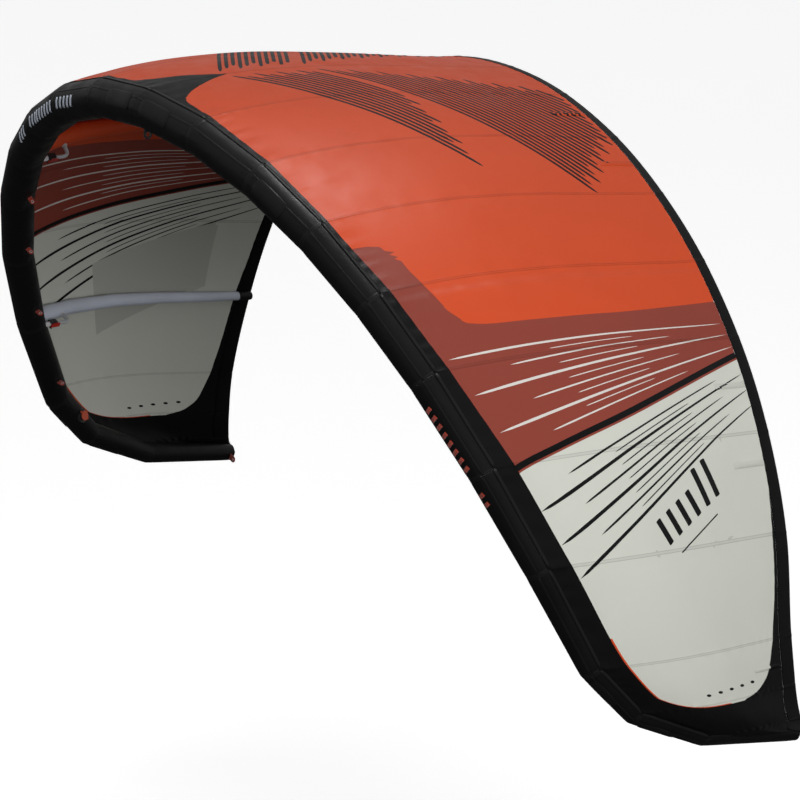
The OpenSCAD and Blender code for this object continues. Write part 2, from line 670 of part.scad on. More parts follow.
// The clip's own frame: y along the hose from its front end, z outward, the hose's axis at the origin
module clip_body() {
    difference() {
        translate([-clip_w / 2, 0, -clip_half]) cube([clip_w, clip_len, 2 * clip_half + clip_base_t]);
        translate([-clip_half, -1, -clip_half - 1]) cube([2 * clip_half, clip_len + 2, 2 * clip_half + 1]);
    }
    for (k = [-1, 1]) translate([k * (clip_w / 2 - 2), 4, lever_pin_z]) {
        rotate([0, 90, 0]) cylinder(h = 4, r = 3.6, center = true);
        translate([-2, -3.6, 0]) cube([4, 7.2, -lever_pin_z]);
    }
    translate([-clip_w / 2, 4, lever_pin_z]) rotate([0, 90, 0]) cylinder(h = clip_w, r = hinge_pin_r);
}
module clip_lever() {
    inner = clip_w - 8 - 0.6;
    difference() {
        union() {
            translate([-inner / 2, 4, lever_pin_z]) rotate([0, 90, 0]) cylinder(h = inner, r = 3);
            translate([-inner / 2, 4, lever_pin_z]) cube([inner, clip_len + 6, 3]);
        }
        translate([-50, 4, lever_pin_z]) rotate([0, 90, 0]) cylinder(h = 100, r = hinge_pin_r + pin_gap);
    }
}
module at_clip(j) { at_strut(j) translate([0, le_r[j] + clip_y, hose_z]) children(); }
module clip_bodies() {
    color([0.1, 0.1, 0.11]) {
        at_clip(0) clip_body();
        both_sides() at_clip(inner_joint) clip_body();
        both_sides() at_clip(outer_joint) clip_body();
    }
}
lever_red = [0.75, 0.15, 0.1];
module clip_lever_centre() { color(lever_red) at_clip(0) clip_lever(); }
module clip_lever_inner_right() { color(lever_red) at_clip(inner_joint) clip_lever(); }
module clip_lever_inner_left() { color(lever_red) side(-1) at_clip(inner_joint) clip_lever(); }
module clip_lever_outer_right() { color(lever_red) at_clip(outer_joint) clip_lever(); }
module clip_lever_outer_left() { color(lever_red) side(-1) at_clip(outer_joint) clip_lever(); }

// ---- zip, scuff pads and tip ends ---------------------------------------------------------

zip_seg = 1;
zip_f = 0.5;
zip_turn = -20;
zip_len = 270;
zip_w = 26;
zip_t = 1.4;
slider_len = 16;
module zip_tape() {
    color([0.14, 0.14, 0.15]) side(-1) tube_patch(zip_seg, zip_f, zip_turn, zip_len, zip_w, zip_t);
}
module zip_slider() {
    r = tube_r_at(zip_seg, zip_f - zip_len / 2 / bay_w[zip_seg]) + 0.1 + zip_t + 0.4;
    color([0.6, 0.6, 0.62]) side(-1) on_tube(zip_seg, zip_f, zip_turn)
        translate([r, -5, -zip_len / 2 + 6]) difference() {
            union() {
                cube([4, 10, slider_len]);
                translate([4, 3.5, 4]) cube([4, 3, 8]);
            }
            translate([6, 10, 8]) rotate([90, 0, 0]) cylinder(h = 20, r = 1);
        }
}

// Point at share f of segment i, at an angle about the tube, lift outside its surface
function tube_pt(i, f, angle, lift) = let (z = seg_dir(i), y = seg_out(i), x = cross(y, z))
    lerp(le[i], le[i + 1], f) + (tube_r_at(i, f) + lift) * (cos(angle) * x + sin(angle) * y);
scuff_segments = [0, 2, 8, 9];
module scuff_pads() {
    fs = [0.1, 0.6];
    angles = [for (k = [-3:3]) 160 + 9 * k];
    lift = 0.5;
    t = 1.5;
    color([0.16, 0.16, 0.17]) both_sides() for (i = scuff_segments) sheet(
        [for (f = fs) [for (a = angles) tube_pt(i, f, a, lift + t)]],
        [for (f = fs) [for (a = angles) tube_pt(i, f, a, lift)]]
    );
}

cap_t = 3;
module tip_cap() {
    on_tube(bays - 1, 1) translate([0, 0, 0.05]) cylinder(h = cap_t, r = le_r[bays]);
}
module tip_cap_right() { color(black) tip_cap(); }
module tip_cap_left() { color(black) side(-1) tip_cap(); }
flap_w = 40;
flap_len = 56;
flap_t = 2;
flap_hinge_y = -30;
flap_stand = cap_t + 0.6;
module tip_flap() {
    on_tube(bays - 1, 1) translate([-flap_w / 2, flap_hinge_y, flap_stand]) cube([flap_w, flap_len, flap_t]);
}
module tip_flap_right() { color([0.2, 0.2, 0.21]) tip_flap(); }
module tip_flap_left() { color([0.2, 0.2, 0.21]) side(-1) tip_flap(); }

// ---- all nodes ----------------------------------------------------------------------------

canopy_centre();
canopy_mid_right();
canopy_mid_left();
canopy_tip_right();
canopy_tip_left();
te_band_right();
te_band_left();
te_battens();
centre_spur_patch();
le_sleeve_right();
le_sleeve_left();
le_bladder();
strut_centre();
strut_inner_right();
strut_inner_left();
strut_outer_right();
strut_outer_left();
strut_bladder_centre();
strut_bladder_inner_right();
strut_bladder_inner_left();
strut_bladder_outer_right();
strut_bladder_outer_left();
strut_tail_pads();
bridle_tabs_right();
bridle_tabs_left();
bridle_patches();
rear_tab_right();
rear_tab_left();
tether_tab();
inflate_valve_body();
inflate_valve_cap();
inflate_check_flap();
dump_valve_body();
dump_valve_cap();
one_pump_hoses();
hose_elbows();
clip_bodies();
clip_lever_centre();
clip_lever_inner_right();
clip_lever_inner_left();
clip_lever_outer_right();
clip_lever_outer_left();
zip_tape();
zip_slider();
scuff_pads();
tip_cap_right();
tip_cap_left();
tip_flap_right();
tip_flap_left();
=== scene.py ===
"""Looks of an inflatable kitesurf kite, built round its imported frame."""
import math

import bpy
import numpy as np
from mathutils import Matrix, Vector, geometry


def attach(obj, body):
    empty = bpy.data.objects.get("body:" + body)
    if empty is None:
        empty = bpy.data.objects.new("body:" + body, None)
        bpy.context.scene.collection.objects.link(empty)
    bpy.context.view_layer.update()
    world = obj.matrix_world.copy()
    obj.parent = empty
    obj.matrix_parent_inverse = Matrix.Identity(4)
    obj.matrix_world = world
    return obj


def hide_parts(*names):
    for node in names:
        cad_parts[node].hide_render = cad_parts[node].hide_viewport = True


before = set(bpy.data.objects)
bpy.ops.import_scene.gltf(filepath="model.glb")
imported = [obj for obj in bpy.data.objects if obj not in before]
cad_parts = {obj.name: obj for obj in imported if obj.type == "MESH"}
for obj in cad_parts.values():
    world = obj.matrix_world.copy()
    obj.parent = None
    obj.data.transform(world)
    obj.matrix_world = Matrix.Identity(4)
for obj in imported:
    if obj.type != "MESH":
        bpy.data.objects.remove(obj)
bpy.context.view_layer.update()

# ---- driving sizes of the wing, in metres and degrees, as the CAD model has them -------------

BAY_W = [0.320, 0.315, 0.310, 0.320, 0.325, 0.380, 0.405, 0.430, 0.265, 0.340, 0.440]
BAYS = len(BAY_W)
ARCH, ARCH_FULL, ARCH_POWER, TIP_EASE = 85.8, 0.845, 1.39, 14.8
SWEEP, SWEEP_POWER, CURL, CURL_POWER = 30.8, 0.73, 85.5, 0.8
CURL_JOINT, INNER, OUTER = 8, 4, 7
CHORD, TIP_CHORD, CHORD_EXP = 1.664, 0.040, (1.70, 0.696)
CAMBER, CAMBER_GROW, PITCH = 0.028, 0.05, math.radians(1.95)
TUBE_R, TUBE_TIP_R, TAPER = 0.074, 0.034, 1.83
CLOTH_UP = 0.0028
BAND_W, BAND_GROW = 0.034, 0.044
DROP = 0.022
STRUT_SHARE, STRUT_TAIL_R, STRUT_DROP, STRUT_END = 0.58, 0.017, 0.0038, 0.985
MIRROR = np.array([-1.0, 1.0, 1.0])
SIDES = ((1, "right"), (-1, "left"))

# ---- shape of the wing -----------------------------------------------------------------------

HALF_LE = sum(BAY_W)
JOINT_S = np.concatenate([[0], np.cumsum(BAY_W)]) / HALF_LE
BAY_AT = np.array(BAY_W)


def share(j):
    """Share of the half leading edge at joint j, which may be a fraction."""
    return np.interp(j, range(BAYS + 1), JOINT_S)


CURL_START = float(share(CURL_JOINT))


def curl(s):
    return max(0.0, (s - CURL_START) / (1 - CURL_START))


def arch_at(s):
    bend = 1 - (1 - min(1, s / ARCH_FULL)) ** ARCH_POWER
    return math.radians(ARCH * bend - TIP_EASE * curl(s))


def sweep_at(s):
    tail = math.sin(math.pi / 2 * curl(s)) ** CURL_POWER
    return math.radians(SWEEP * min(1, s / CURL_START) ** SWEEP_POWER + (CURL - SWEEP) * tail)


def unit(v):
    return v / np.linalg.norm(v)


MIDS = [float(share(i + 0.5)) for i in range(BAYS)]
SEG_ARCH = [arch_at(s) for s in MIDS]
SEG_DIR = [
    np.array([math.cos(w) * math.cos(a), math.sin(w), -math.cos(w) * math.sin(a)])
    for a, w in zip(SEG_ARCH, map(sweep_at, MIDS))
]
SEG_OUT = [np.array([math.sin(a), 0, math.cos(a)]) for a in SEG_ARCH]
LE = [np.array([0, 0, TUBE_R + DROP])]
for width, direction in zip(BAY_W, SEG_DIR):
    LE.append(LE[-1] + width * direction)
LE_R = [TUBE_TIP_R + (TUBE_R - TUBE_TIP_R) * (1 - s**TAPER) for s in JOINT_S]


def joint_arch(j):
    if j == 0:
        return 0.0
    return (SEG_ARCH[j - 1] + SEG_ARCH[min(j, BAYS - 1)]) / 2


def main_chord(j):
    return CHORD * (1 - JOINT_S[j] ** CHORD_EXP[0]) ** CHORD_EXP[1]


def chord(j):
    """Chord at a joint; past the curl the trailing edge runs straight to the tip."""
    if j <= CURL_JOINT:
        return main_chord(j)
    start = LE[CURL_JOINT][1] + main_chord(CURL_JOINT)
    end = LE[BAYS][1] + TIP_CHORD
    return start + (end - start) * curl(JOINT_S[j]) - LE[j][1]


CHORDS = [chord(j) for j in range(BAYS + 1)]


def joint_axes(j):
    """(spanwise, back, out) directions at a joint."""
    a = joint_arch(j)
    normal = np.array([math.sin(a), 0, math.cos(a)])
    aft = np.array([0, 1, 0])
    back = math.cos(PITCH) * aft + math.sin(PITCH) * normal
    out = math.cos(PITCH) * normal - math.sin(PITCH) * aft
    return np.array([math.cos(a), 0, -math.sin(a)]), back, out


AXES = [joint_axes(j) for j in range(BAYS + 1)]


def cloth_h(j, v):
    """Height of the cloth over the line from the tube's middle at joint j."""
    s = JOINT_S[j]
    arc = 5.65 * v * np.clip(1 - v, 0, 1) ** 1.6
    return (LE_R[j] + CLOTH_UP) * (1 - v * (1 - s**6)) + (CAMBER + CAMBER_GROW * s) * CHORDS[j] * arc


def rib(j, v):
    """Cloth points on the chord line of a joint, at the chord shares v."""
    if j < 0:
        return rib(-j, v) * MIRROR
    if j > BAYS:
        return 2 * rib(BAYS, v) - rib(BAYS - 1, v)
    _, back, out = AXES[j]
    return LE[j] + np.outer(v * CHORDS[j], back) + np.outer(cloth_h(j, v), out)


def bay_width(k):
    return BAY_W[min(k if k >= 0 else -k - 1, BAYS - 1)]


def slope(k, v):
    """Change of the cloth per metre of leading edge at joint k."""
    before, after = bay_width(k - 1), bay_width(k)
    a = (rib(k, v) - rib(k - 1, v)) / before
    b = (rib(k + 1, v) - rib(k, v)) / after
    return (a * after + b * before) / (before + after)


def smooth(x, low, high):
    t = np.clip((x - low) / (high - low), 0, 1)
    return t * t * (3 - 2 * t)


def bay_curve(k, t, v):
    """Cloth points at shares t of bay k: straight along the tube, a smooth curve further back."""
    a, b = rib(k, v), rib(k + 1, v)
    m0, m1 = slope(k, v) * BAY_W[k], slope(k + 1, v) * BAY_W[k]
    t = t[:, None]
    curve = (2 * t**3 - 3 * t**2 + 1) * a + (t**3 - 2 * t**2 + t) * m0
    curve += (3 * t**2 - 2 * t**3) * b + (t**3 - t**2) * m1
    straight = a + (b - a) * t
    return straight + (curve - straight) * smooth(v, 0.01, 0.13)[:, None]


def cloth(j, v):
    """Plain canopy surface; j counts joints from the centre, below 0 on the left."""
    j, v = (np.asarray(x, float) for x in np.broadcast_arrays(j, v))
    q, w = np.abs(j).ravel(), v.ravel()
    k = np.minimum(BAYS - 1, np.floor(q)).astype(int)
    points = np.zeros((len(q), 3))
    for b in np.unique(k):
        pick = k == b
        points[pick] = bay_curve(b, q[pick] - b, w[pick])
    points[:, 0] *= np.where(j.ravel() < 0, -1, 1)
    return points.reshape(j.shape + (3,))


def cloth_normal(j, v):
    """Outward unit normals of the canopy."""
    e = 1e-3
    j, v = (np.asarray(x, float) for x in np.broadcast_arrays(j, v))
    j = np.where(np.abs(j) < 2 * e, 2 * e * np.where(j < 0, -1, 1), j)
    v = np.clip(v, e, 1 - e)
    n = np.cross(cloth(j + e, v) - cloth(j - e, v), cloth(j, v + e) - cloth(j, v - e))
    return n / np.linalg.norm(n, axis=-1, keepdims=True)


def band_v(j):
    """Chord share where the trailing edge band starts."""
    width = np.minimum(np.array(CHORDS) * 0.6, BAND_W + BAND_GROW * JOINT_S)
    return 1 - np.interp(np.abs(j), range(BAYS + 1), width / np.array(CHORDS))


# ---- small shape on the cloth: seams, tension creases and the pull of the struts --------------

STRUT_JOINTS = [0, INNER, OUTER]
SEAM_HALF = 0.006
SEAM_RISE = 0.0009
DOUBLE_SEAM = 4.14      # a second seam runs beside the inner strut


def bay_metres(j):
    """Width of the bay at j, for turning joint counts into metres."""
    return BAY_AT[np.minimum(BAYS - 1, np.floor(np.abs(j)).astype(int))]


def seam_distance(j):
    """Metres to the nearest seam along the span."""
    q = np.abs(j)
    near = np.minimum(np.abs(q - np.round(q)), np.abs(q - DOUBLE_SEAM))
    return near * bay_metres(j)


def cloth_rise(j, v):
    """How far the sewn, stretched cloth stands off its plain surface."""
    q = np.abs(j)
    stations = np.array(STRUT_JOINTS + [BAYS])
    low = stations[np.clip(np.searchsorted(stations, q, side="right") - 1, 0, len(stations) - 2)]
    high = stations[np.clip(np.searchsorted(stations, q, side="right"), 1, len(stations) - 1)]
    billow = 0.007 * np.sin(np.pi * np.clip((q - low) / (high - low), 0, 1)) ** 2
    billow = billow * np.sin(np.pi * np.clip(v, 0, 1)) ** 0.8
    panel = 0.0014 * np.sin(np.pi * (q - np.floor(q))) * smooth(v, 0.05, 0.3) * smooth(1 - v, 0, 0.15)
    seam = SEAM_RISE * (1 - smooth(seam_distance(j), SEAM_HALF * 0.5, SEAM_HALF * 1.5))
    ripple = 0.0010 * np.sin(q * 31 + 2 * np.sin(q * 5.3)) * np.exp(-((v - 0.015) / 0.035) ** 2)
    pucker = 0.0007 * np.sin(v * 160 + 3 * np.sin(q * 3.1)) * np.exp(-((seam_distance(j) / 0.022) ** 2))
    hem = 0.0008 * np.sin(q * 44 + 2 * np.sin(q * 7)) * np.exp(-((v - band_v(q)) / 0.02) ** 2)
    drift = 0.0012 * np.sin(q * 2.7 + v * 9.1) * np.sin(q * 1.3 - v * 15.0) * smooth(v, 0.05, 0.3)
    return billow + panel + seam + ripple + pucker + hem + drift


def skin(j, v, lift=0.0):
    """Canopy surface with its seams and creases, lifted outwards by lift."""
    rise = cloth_rise(j, v) + lift
    return cloth(j, v) + cloth_normal(j, v) * rise[..., None]


def skin_normal(j, v):
    e = 2e-3
    j = np.where(np.abs(j) < 2 * e, 2 * e * np.where(j < 0, -1, 1), j)
    n = np.cross(skin(j + e, v) - skin(j - e, v), skin(j, v + e) - skin(j, v - e))
    return n / np.linalg.norm(n, axis=-1, keepdims=True)


# ---- meshes ----------------------------------------------------------------------------------


def add_piece(name, verts, faces, materials, picks, uv, body="kite"):
    """A mesh object that rides on a body. picks gives each face's material, uv each vertex's maps."""
    mesh = bpy.data.meshes.new(name)
    mesh.from_pydata([tuple(v) for v in verts], [], [tuple(int(i) for i in f) for f in faces])
    for m in materials:
        mesh.materials.append(m)
    mesh.polygons.foreach_set("material_index", np.array(picks, np.int32))
    mesh.polygons.foreach_set("use_smooth", np.full(len(mesh.polygons), True))
    loops = np.zeros(len(mesh.loops), np.int32)
    mesh.loops.foreach_get("vertex_index", loops)
    for layer_name, values in uv.items():
        layer = mesh.uv_layers.new(name=layer_name)
        layer.data.foreach_set("uv", np.asarray(values, np.float32)[loops].ravel())
    mesh.update()
    piece = bpy.data.objects.new(name, mesh)
    bpy.context.scene.collection.objects.link(piece)
    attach(piece, body)
    return piece


def grid_faces(rows, columns, closed=False, first=0):
    """Quads between rows of points; closed joins the last column to the first."""
    span = columns if closed else columns - 1
    return [
        (first + r * columns + c, first + r * columns + (c + 1) % columns,
         first + (r + 1) * columns + (c + 1) % columns, first + (r + 1) * columns + c)
        for r in range(rows - 1) for c in range(span)
    ]


def run_lengths(points):
    """Distance of each point from the first one, along the line through them."""
    return np.concatenate([[0], np.cumsum(np.linalg.norm(np.diff(points, axis=0), axis=1))])


class Bundle:
    """Several grids of points gathered into one mesh."""

    def __init__(self):
        self.verts, self.faces, self.picks, self.uv = [], [], [], []

    def grid(self, points, pick=0, side=1, turn=1, closed=False, caps=False):
        """Adds rows of points, mirrored where side is -1; turn -1 faces them the other way."""
        points = (np.asarray(points, float) * [side, 1, 1])[:, ::side * turn]
        rows, columns = points.shape[:2]
        first = len(self.verts)
        self.verts.extend(points.reshape(-1, 3))
        new = grid_faces(rows, columns, closed, first)
        if caps:
            new.append(tuple(first + c for c in range(columns))[::-1])
            new.append(tuple(first + (rows - 1) * columns + c for c in range(columns)))
        self.faces.extend(new)
        self.picks.extend([pick] * len(new))
        self.uv.extend([(a, b) for a in run_lengths(points[:, 0]) for b in run_lengths(points[0])])

    def piece(self, name, materials, slot, node=None, body="kite"):
        """The gathered mesh; the CAD node that it stands for is hidden. slot is not used."""
        made = add_piece(name, self.verts, self.faces, materials, self.picks, {"cloth": self.uv}, body)
        if node:
            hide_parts(node)
        return made


def bar(points, normals, widths, thickness):
    """Rings of a flat strip with a low crown, along points and lying on a surface."""
    points, normals = np.asarray(points), np.asarray(normals)
    run = np.gradient(points, axis=0)
    side = np.cross(normals, run)
    side /= np.linalg.norm(side, axis=1, keepdims=True)
    half = np.broadcast_to(widths, len(points))[:, None] / 2
    up = normals * thickness
    return np.stack([
        points - side * half, points - side * half * 0.86 + up, points + side * half * 0.86 + up,
        points + side * half,
    ], axis=1)


# ---- leading edge tube surface ----------------------------------------------------------------

MITRE_REACH = 0.3       # share of a segment over which its rings lean into the mitre


def mitre(j):
    if j == 0:
        return np.array([1.0, 0, 0])
    if j == BAYS:
        return SEG_DIR[-1]
    return unit(SEG_DIR[j - 1] + SEG_DIR[j])


def tube_radius(i, f):
    return LE_R[i] + (LE_R[i + 1] - LE_R[i]) * f


def tube_point(i, f, angle, lift=0.0):
    """Points on segment i at shares f, at angles from straight back towards outwards, in degrees.

    Near a joint the rings lean into the joint's mitre, so that neighbouring segments meet."""
    f, angle = np.broadcast_arrays(np.asarray(f, float), np.asarray(angle, float))
    z, y = SEG_DIR[i], SEG_OUT[i]
    x = np.cross(y, z)
    a = np.radians(angle)[..., None]
    ring = (tube_radius(i, f) + lift)[..., None] * (np.cos(a) * x + np.sin(a) * y)
    point = LE[i] + BAY_W[i] * f[..., None] * z + ring
    for end, m in ((0.0, mitre(i)), (1.0, mitre(i + 1))):
        lean = np.clip(1 - np.abs(f - end) / MITRE_REACH, 0, 1)[..., None]
        point = point - z * lean * (ring @ m / (z @ m))[..., None]
    return point


def tube_bulge(i, f, angle):
    """Pillowing of a blown-up segment, pinched and creased where it is sewn to the next."""
    near = np.minimum(f, 1 - f) * BAY_W[i]
    pinch = -0.0010 * np.exp(-((near / 0.010) ** 2))
    crease = 0.0009 * np.sin(np.radians(angle) * 17 + i) * np.exp(-((near - 0.02) / 0.018) ** 2)
    return 0.0010 * smooth(near, 0, 0.05) + pinch + crease


def tube_skin(i, f, angle, lift=0.0):
    f, angle = np.broadcast_arrays(np.asarray(f, float), np.asarray(angle, float))
    return tube_point(i, f, angle, tube_bulge(i, f, angle) + lift)


def tube_normal(i, angle):
    z, y = SEG_DIR[i], SEG_OUT[i]
    a = np.radians(np.asarray(angle, float))[..., None]
    return np.cos(a) * np.cross(y, z) + np.sin(a) * y


def strip_on_tube(i, fs, angles, width, thickness, side=1, lift=0.0003):
    """A strip lying on segment i through the given shares and angles."""
    points = tube_skin(i, fs, angles, lift)
    flip = np.array([side, 1, 1])
    return bar(points * flip, tube_normal(i, angles) * flip, width, thickness)


# ---- materials -------------------------------------------------------------------------------

CLOTH_ORANGE = (0.60, 0.072, 0.020)
CLOTH_RED = (0.250, 0.050, 0.034)
CLOTH_WHITE = (0.60, 0.61, 0.55)
CLOTH_BLACK = (0.004, 0.004, 0.0042)
TUBE_BLACK = (0.0045, 0.0045, 0.0048)
STRUT_GREY = (0.50, 0.54, 0.62)
LINE_WHITE = (0.66, 0.62, 0.58)


class Nodes:
    """A material under construction; a value given to an input may be another node's output."""

    def __init__(self, name, color, roughness, **sockets):
        self.material = bpy.data.materials.new(name)
        self.material.use_nodes = True
        self.tree = self.material.node_tree
        self.bsdf = self.tree.nodes["Principled BSDF"]
        self.color = color
        self.height = None
        self.give(self.bsdf, {"Roughness": roughness, **sockets})

    def give(self, node, inputs):
        for key, value in inputs.items():
            if isinstance(value, bpy.types.NodeSocket):
                self.tree.links.new(value, node.inputs[key])
            else:
                node.inputs[key].default_value = value

    def add(self, kind, inputs, out=0, **settings):
        node = self.tree.nodes.new("ShaderNode" + kind)
        for key, value in settings.items():
            setattr(node, key, value)
        self.give(node, inputs)
        return node.outputs[out]

    def sum(self, operation, a, b=0.0):
        return self.add("Math", {0: a, 1: b}, operation=operation)

    def uv(self, layer="cloth"):
        found = self.add("UVMap", {}, uv_map=layer)
        xyz = self.tree.nodes.new("ShaderNodeSeparateXYZ")
        self.tree.links.new(found, xyz.inputs[0])
        return xyz.outputs[0], xyz.outputs[1]

    def place(self):
        return self.add("TexCoord", {}, out=3)

    def noise(self, scale, detail=3.0, rough=0.55, where=None):
        return self.add("TexNoise", {"Vector": where or self.place(), "Scale": scale, "Detail": detail,
                                     "Roughness": rough})

    def ramp(self, value, low, high, to_low=0.0, to_high=1.0):
        return self.add("MapRange", {0: value, 1: low, 2: high, 3: to_low, 4: to_high})

    def waves(self, coordinate, pitch):
        """A sine of the given pitch in metres."""
        return self.sum("SINE", self.sum("MULTIPLY", coordinate, 2 * math.pi / pitch))

    def raise_by(self, value, metres):
        """Adds a height, in metres, to the bump."""
        part = self.sum("MULTIPLY", value, metres)
        self.height = part if self.height is None else self.sum("ADD", self.height, part)

    def mottle(self, noise, low, high, amount, color):
        """Tints the patches where a noise rises from low to high."""
        self.tint(self.ramp(noise, low, high, 0.0, amount), color)

    def roughen(self, noise, low, high):
        """Lets the roughness wander from low to high."""
        self.give(self.bsdf, {"Roughness": self.ramp(noise, 0.3, 0.7, low, high)})

    def tint(self, factor, color):
        """Mixes a colour into the base colour where factor is 1."""
        base = self.color if isinstance(self.color, bpy.types.NodeSocket) else (*self.color, 1)
        node = self.tree.nodes.new("ShaderNodeMix")
        node.data_type = "RGBA"
        for key, value in ((0, factor), (6, base), (7, (*color, 1))):
            self.give(node, {key: value})
        self.color = node.outputs[2]

    def done(self):
        color = self.color if isinstance(self.color, bpy.types.NodeSocket) else (*self.color, 1)
        self.give(self.bsdf, {"Base Color": color})
        if self.height is not None:
            bump = self.add("Bump", {"Height": self.height, "Distance": 1.0, "Strength": 1.0})
            self.give(self.bsdf, {"Normal": bump})
        return self.material


def scaled(color, k):
    return tuple(c * k for c in color)


def lighter(color, k, add):
    return tuple(min(1, c * k + add) for c in color)


WEAVE, RIPSTOP = 0.0016, 0.006      # pitches of the weave and of the ripstop grid
SEAM_BAY = 0.35                     # usual width of a bay, for seam widths in metres
RIB_ALONG, RIB_ACROSS = 0.0022, 0.0030      # pitches of a strap's ribs


def ripstop(name, color, seams=True):
    """Coated kite cloth: fine weave, a ripstop grid, faint creases and sewn seams."""
    m = Nodes(name, color, 0.5, **{"Specular IOR Level": 0.13})
    x, y = m.uv()
    m.raise_by(m.sum("MULTIPLY", m.waves(x, WEAVE), m.waves(y, WEAVE)), 0.00002)
    threads = m.ramp(m.sum("MAXIMUM", m.waves(x, RIPSTOP), m.waves(y, RIPSTOP)), 0.9, 1.0)
    m.raise_by(threads, 0.00004)
    m.tint(m.sum("MULTIPLY", threads, 0.10), scaled(color, 0.55))
    m.mottle(m.noise(1.7), 0.35, 0.75, 0.16, scaled(color, 0.72))
    m.mottle(m.noise(5.0, 4.0), 0.5, 0.9, 0.10, lighter(color, 1.25, 0.002))
    m.raise_by(m.noise(14.0, 5.0, 0.6), 0.0010)
    m.roughen(m.noise(9.0, 4.0), 0.40, 0.54)
    if seams:
        j, _ = m.uv("seam")
        metres = m.sum("MULTIPLY", m.sum("PINGPONG", j, 0.5), SEAM_BAY)
        m.tint(m.ramp(metres, 0.0062, 0.0070, 0.22, 0.0), scaled(color, 0.55))
        stitch = m.ramp(m.sum("ABSOLUTE", m.sum("SUBTRACT", metres, 0.0045)), 0.0, 0.0012, 0.55, 0.0)
        m.tint(stitch, scaled(color, 0.3))
        m.raise_by(stitch, -0.0003)
    return m.done()


def dacron(name, color, wear=0.5):
    """Dense woven tube cloth with creases and light scuffs."""
    m = Nodes(name, color, 0.5, **{"Specular IOR Level": 0.18})
    m.raise_by(m.add("TexNoise", {"Vector": m.place(), "Scale": 900.0, "Detail": 1.0}), 0.00010)
    m.raise_by(m.noise(22.0, 5.0, 0.6), 0.0011)
    m.raise_by(m.noise(5.0, 2.0), 0.0016)
    m.mottle(m.noise(3.0), 0.4, 0.8, 0.35, scaled(color, 1.7))
    m.mottle(m.noise(60.0, 6.0, 0.7), 0.62, 0.8, 0.5 * wear, lighter(color, 1.3, 0.008))
    m.roughen(m.noise(12.0, 4.0), 0.38, 0.56)
    return m.done()


def webbing(name, color):
    """Woven strap: ribs across its length, from the strap's own lengths in metres."""
    m = Nodes(name, color, 0.62, **{"Sheen Weight": 0.25})
    x, y = m.uv()
    m.raise_by(m.waves(x, RIB_ALONG), 0.00022)
    m.raise_by(m.waves(y, RIB_ACROSS), 0.00014)
    # painted shade: the low grooves between the ribs are darkened
    m.tint(m.ramp(m.waves(x, RIB_ALONG), -0.6, 0.3, 0.5, 0.0), scaled(color, 0.4))
    m.mottle(m.noise(90.0, 3.0), 0.55, 0.8, 0.35, lighter(color, 1.2, 0.06))
    return m.done()


def plastic(name, color, roughness=0.42, grain=0.00008):
    """Moulded plastic: fine grain, slight sheen changes and lighter rubbed spots."""
    m = Nodes(name, color, roughness, **{"Specular IOR Level": 0.5})
    m.raise_by(m.noise(650.0, 2.0), grain)
    m.mottle(m.noise(40.0, 4.0), 0.5, 0.8, 0.3, lighter(color, 1.15, 0.02))
    m.mottle(m.noise(130.0, 5.0, 0.7), 0.62, 0.82, 0.4, lighter(color, 1.5, 0.05))
    m.roughen(m.noise(55.0, 3.0), roughness - 0.07, roughness + 0.1)
    return m.done()


def film(name, color):
    """Bladder film: glossy, milky and faintly crumpled."""
    m = Nodes(name, color, 0.24, **{"Specular IOR Level": 0.5, "Coat Weight": 0.3})
    m.raise_by(m.noise(30.0, 5.0), 0.0012)
    m.mottle(m.noise(6.0), 0.4, 0.8, 0.3, scaled(color, 0.85))
    return m.done()


def metal(name, color):
    m = Nodes(name, color, 0.32, **{"Metallic": 1.0})
    m.raise_by(m.noise(800.0, 2.0), 0.00003)
    m.mottle(m.noise(200.0, 4.0), 0.5, 0.8, 0.4, scaled(color, 0.6))
    m.roughen(m.noise(90.0), 0.24, 0.45)
    return m.done()


ORANGE = ripstop("cloth_orange", CLOTH_ORANGE)
RED = ripstop("cloth_dark_red", CLOTH_RED)
WHITE = ripstop("cloth_white", CLOTH_WHITE)
BLACK = ripstop("cloth_black", CLOTH_BLACK)
INK_WHITE = ripstop("print_white", LINE_WHITE)
BACKING = ripstop("cloth_backing", scaled(CLOTH_WHITE, 0.78), seams=False)
INK_BLACK = ripstop("print_black", scaled(CLOTH_BLACK, 1.4))
CANOPY_MATERIALS = [ORANGE, RED, WHITE, BLACK, INK_WHITE, INK_BLACK]
TUBE = dacron("tube_black", TUBE_BLACK)
TUBE_TAPE = dacron("tube_tape", scaled(TUBE_BLACK, 1.5), 0.8)
STRUT_CLOTH = dacron("strut_grey", STRUT_GREY, 0.2)
STRUT_RED = dacron("strut_orange", CLOTH_ORANGE, 0.2)
ROUGH_CLOTH = dacron("scuff_cloth", (0.0065, 0.0065, 0.007), 1.0)
RED_WEB = webbing("webbing_red", (0.42, 0.035, 0.012))
BLACK_WEB = webbing("webbing_black", (0.014, 0.014, 0.015))
THREAD = plastic("thread_grey", (0.16, 0.16, 0.17), 0.6)
DARK_PLASTIC = plastic("plastic_dark", (0.018, 0.018, 0.020))
CAP_PLASTIC = plastic("plastic_orange", (0.50, 0.065, 0.018), 0.38)
LEVER_PLASTIC = plastic("plastic_red", (0.42, 0.022, 0.012), 0.35)
HOSE_PLASTIC = plastic("hose_grey", (0.42, 0.44, 0.46), 0.33)
FITTING = plastic("fitting_white", (0.60, 0.60, 0.61), 0.4)
RUBBER = plastic("flap_rubber", (0.022, 0.022, 0.024), 0.7, 0.0002)
FILM = film("bladder_film", (0.62, 0.66, 0.70))
ZINC = metal("zip_zinc", (0.50, 0.50, 0.51))

# ---- colour layout of the canopy, in joints and chord shares ----------------------------------

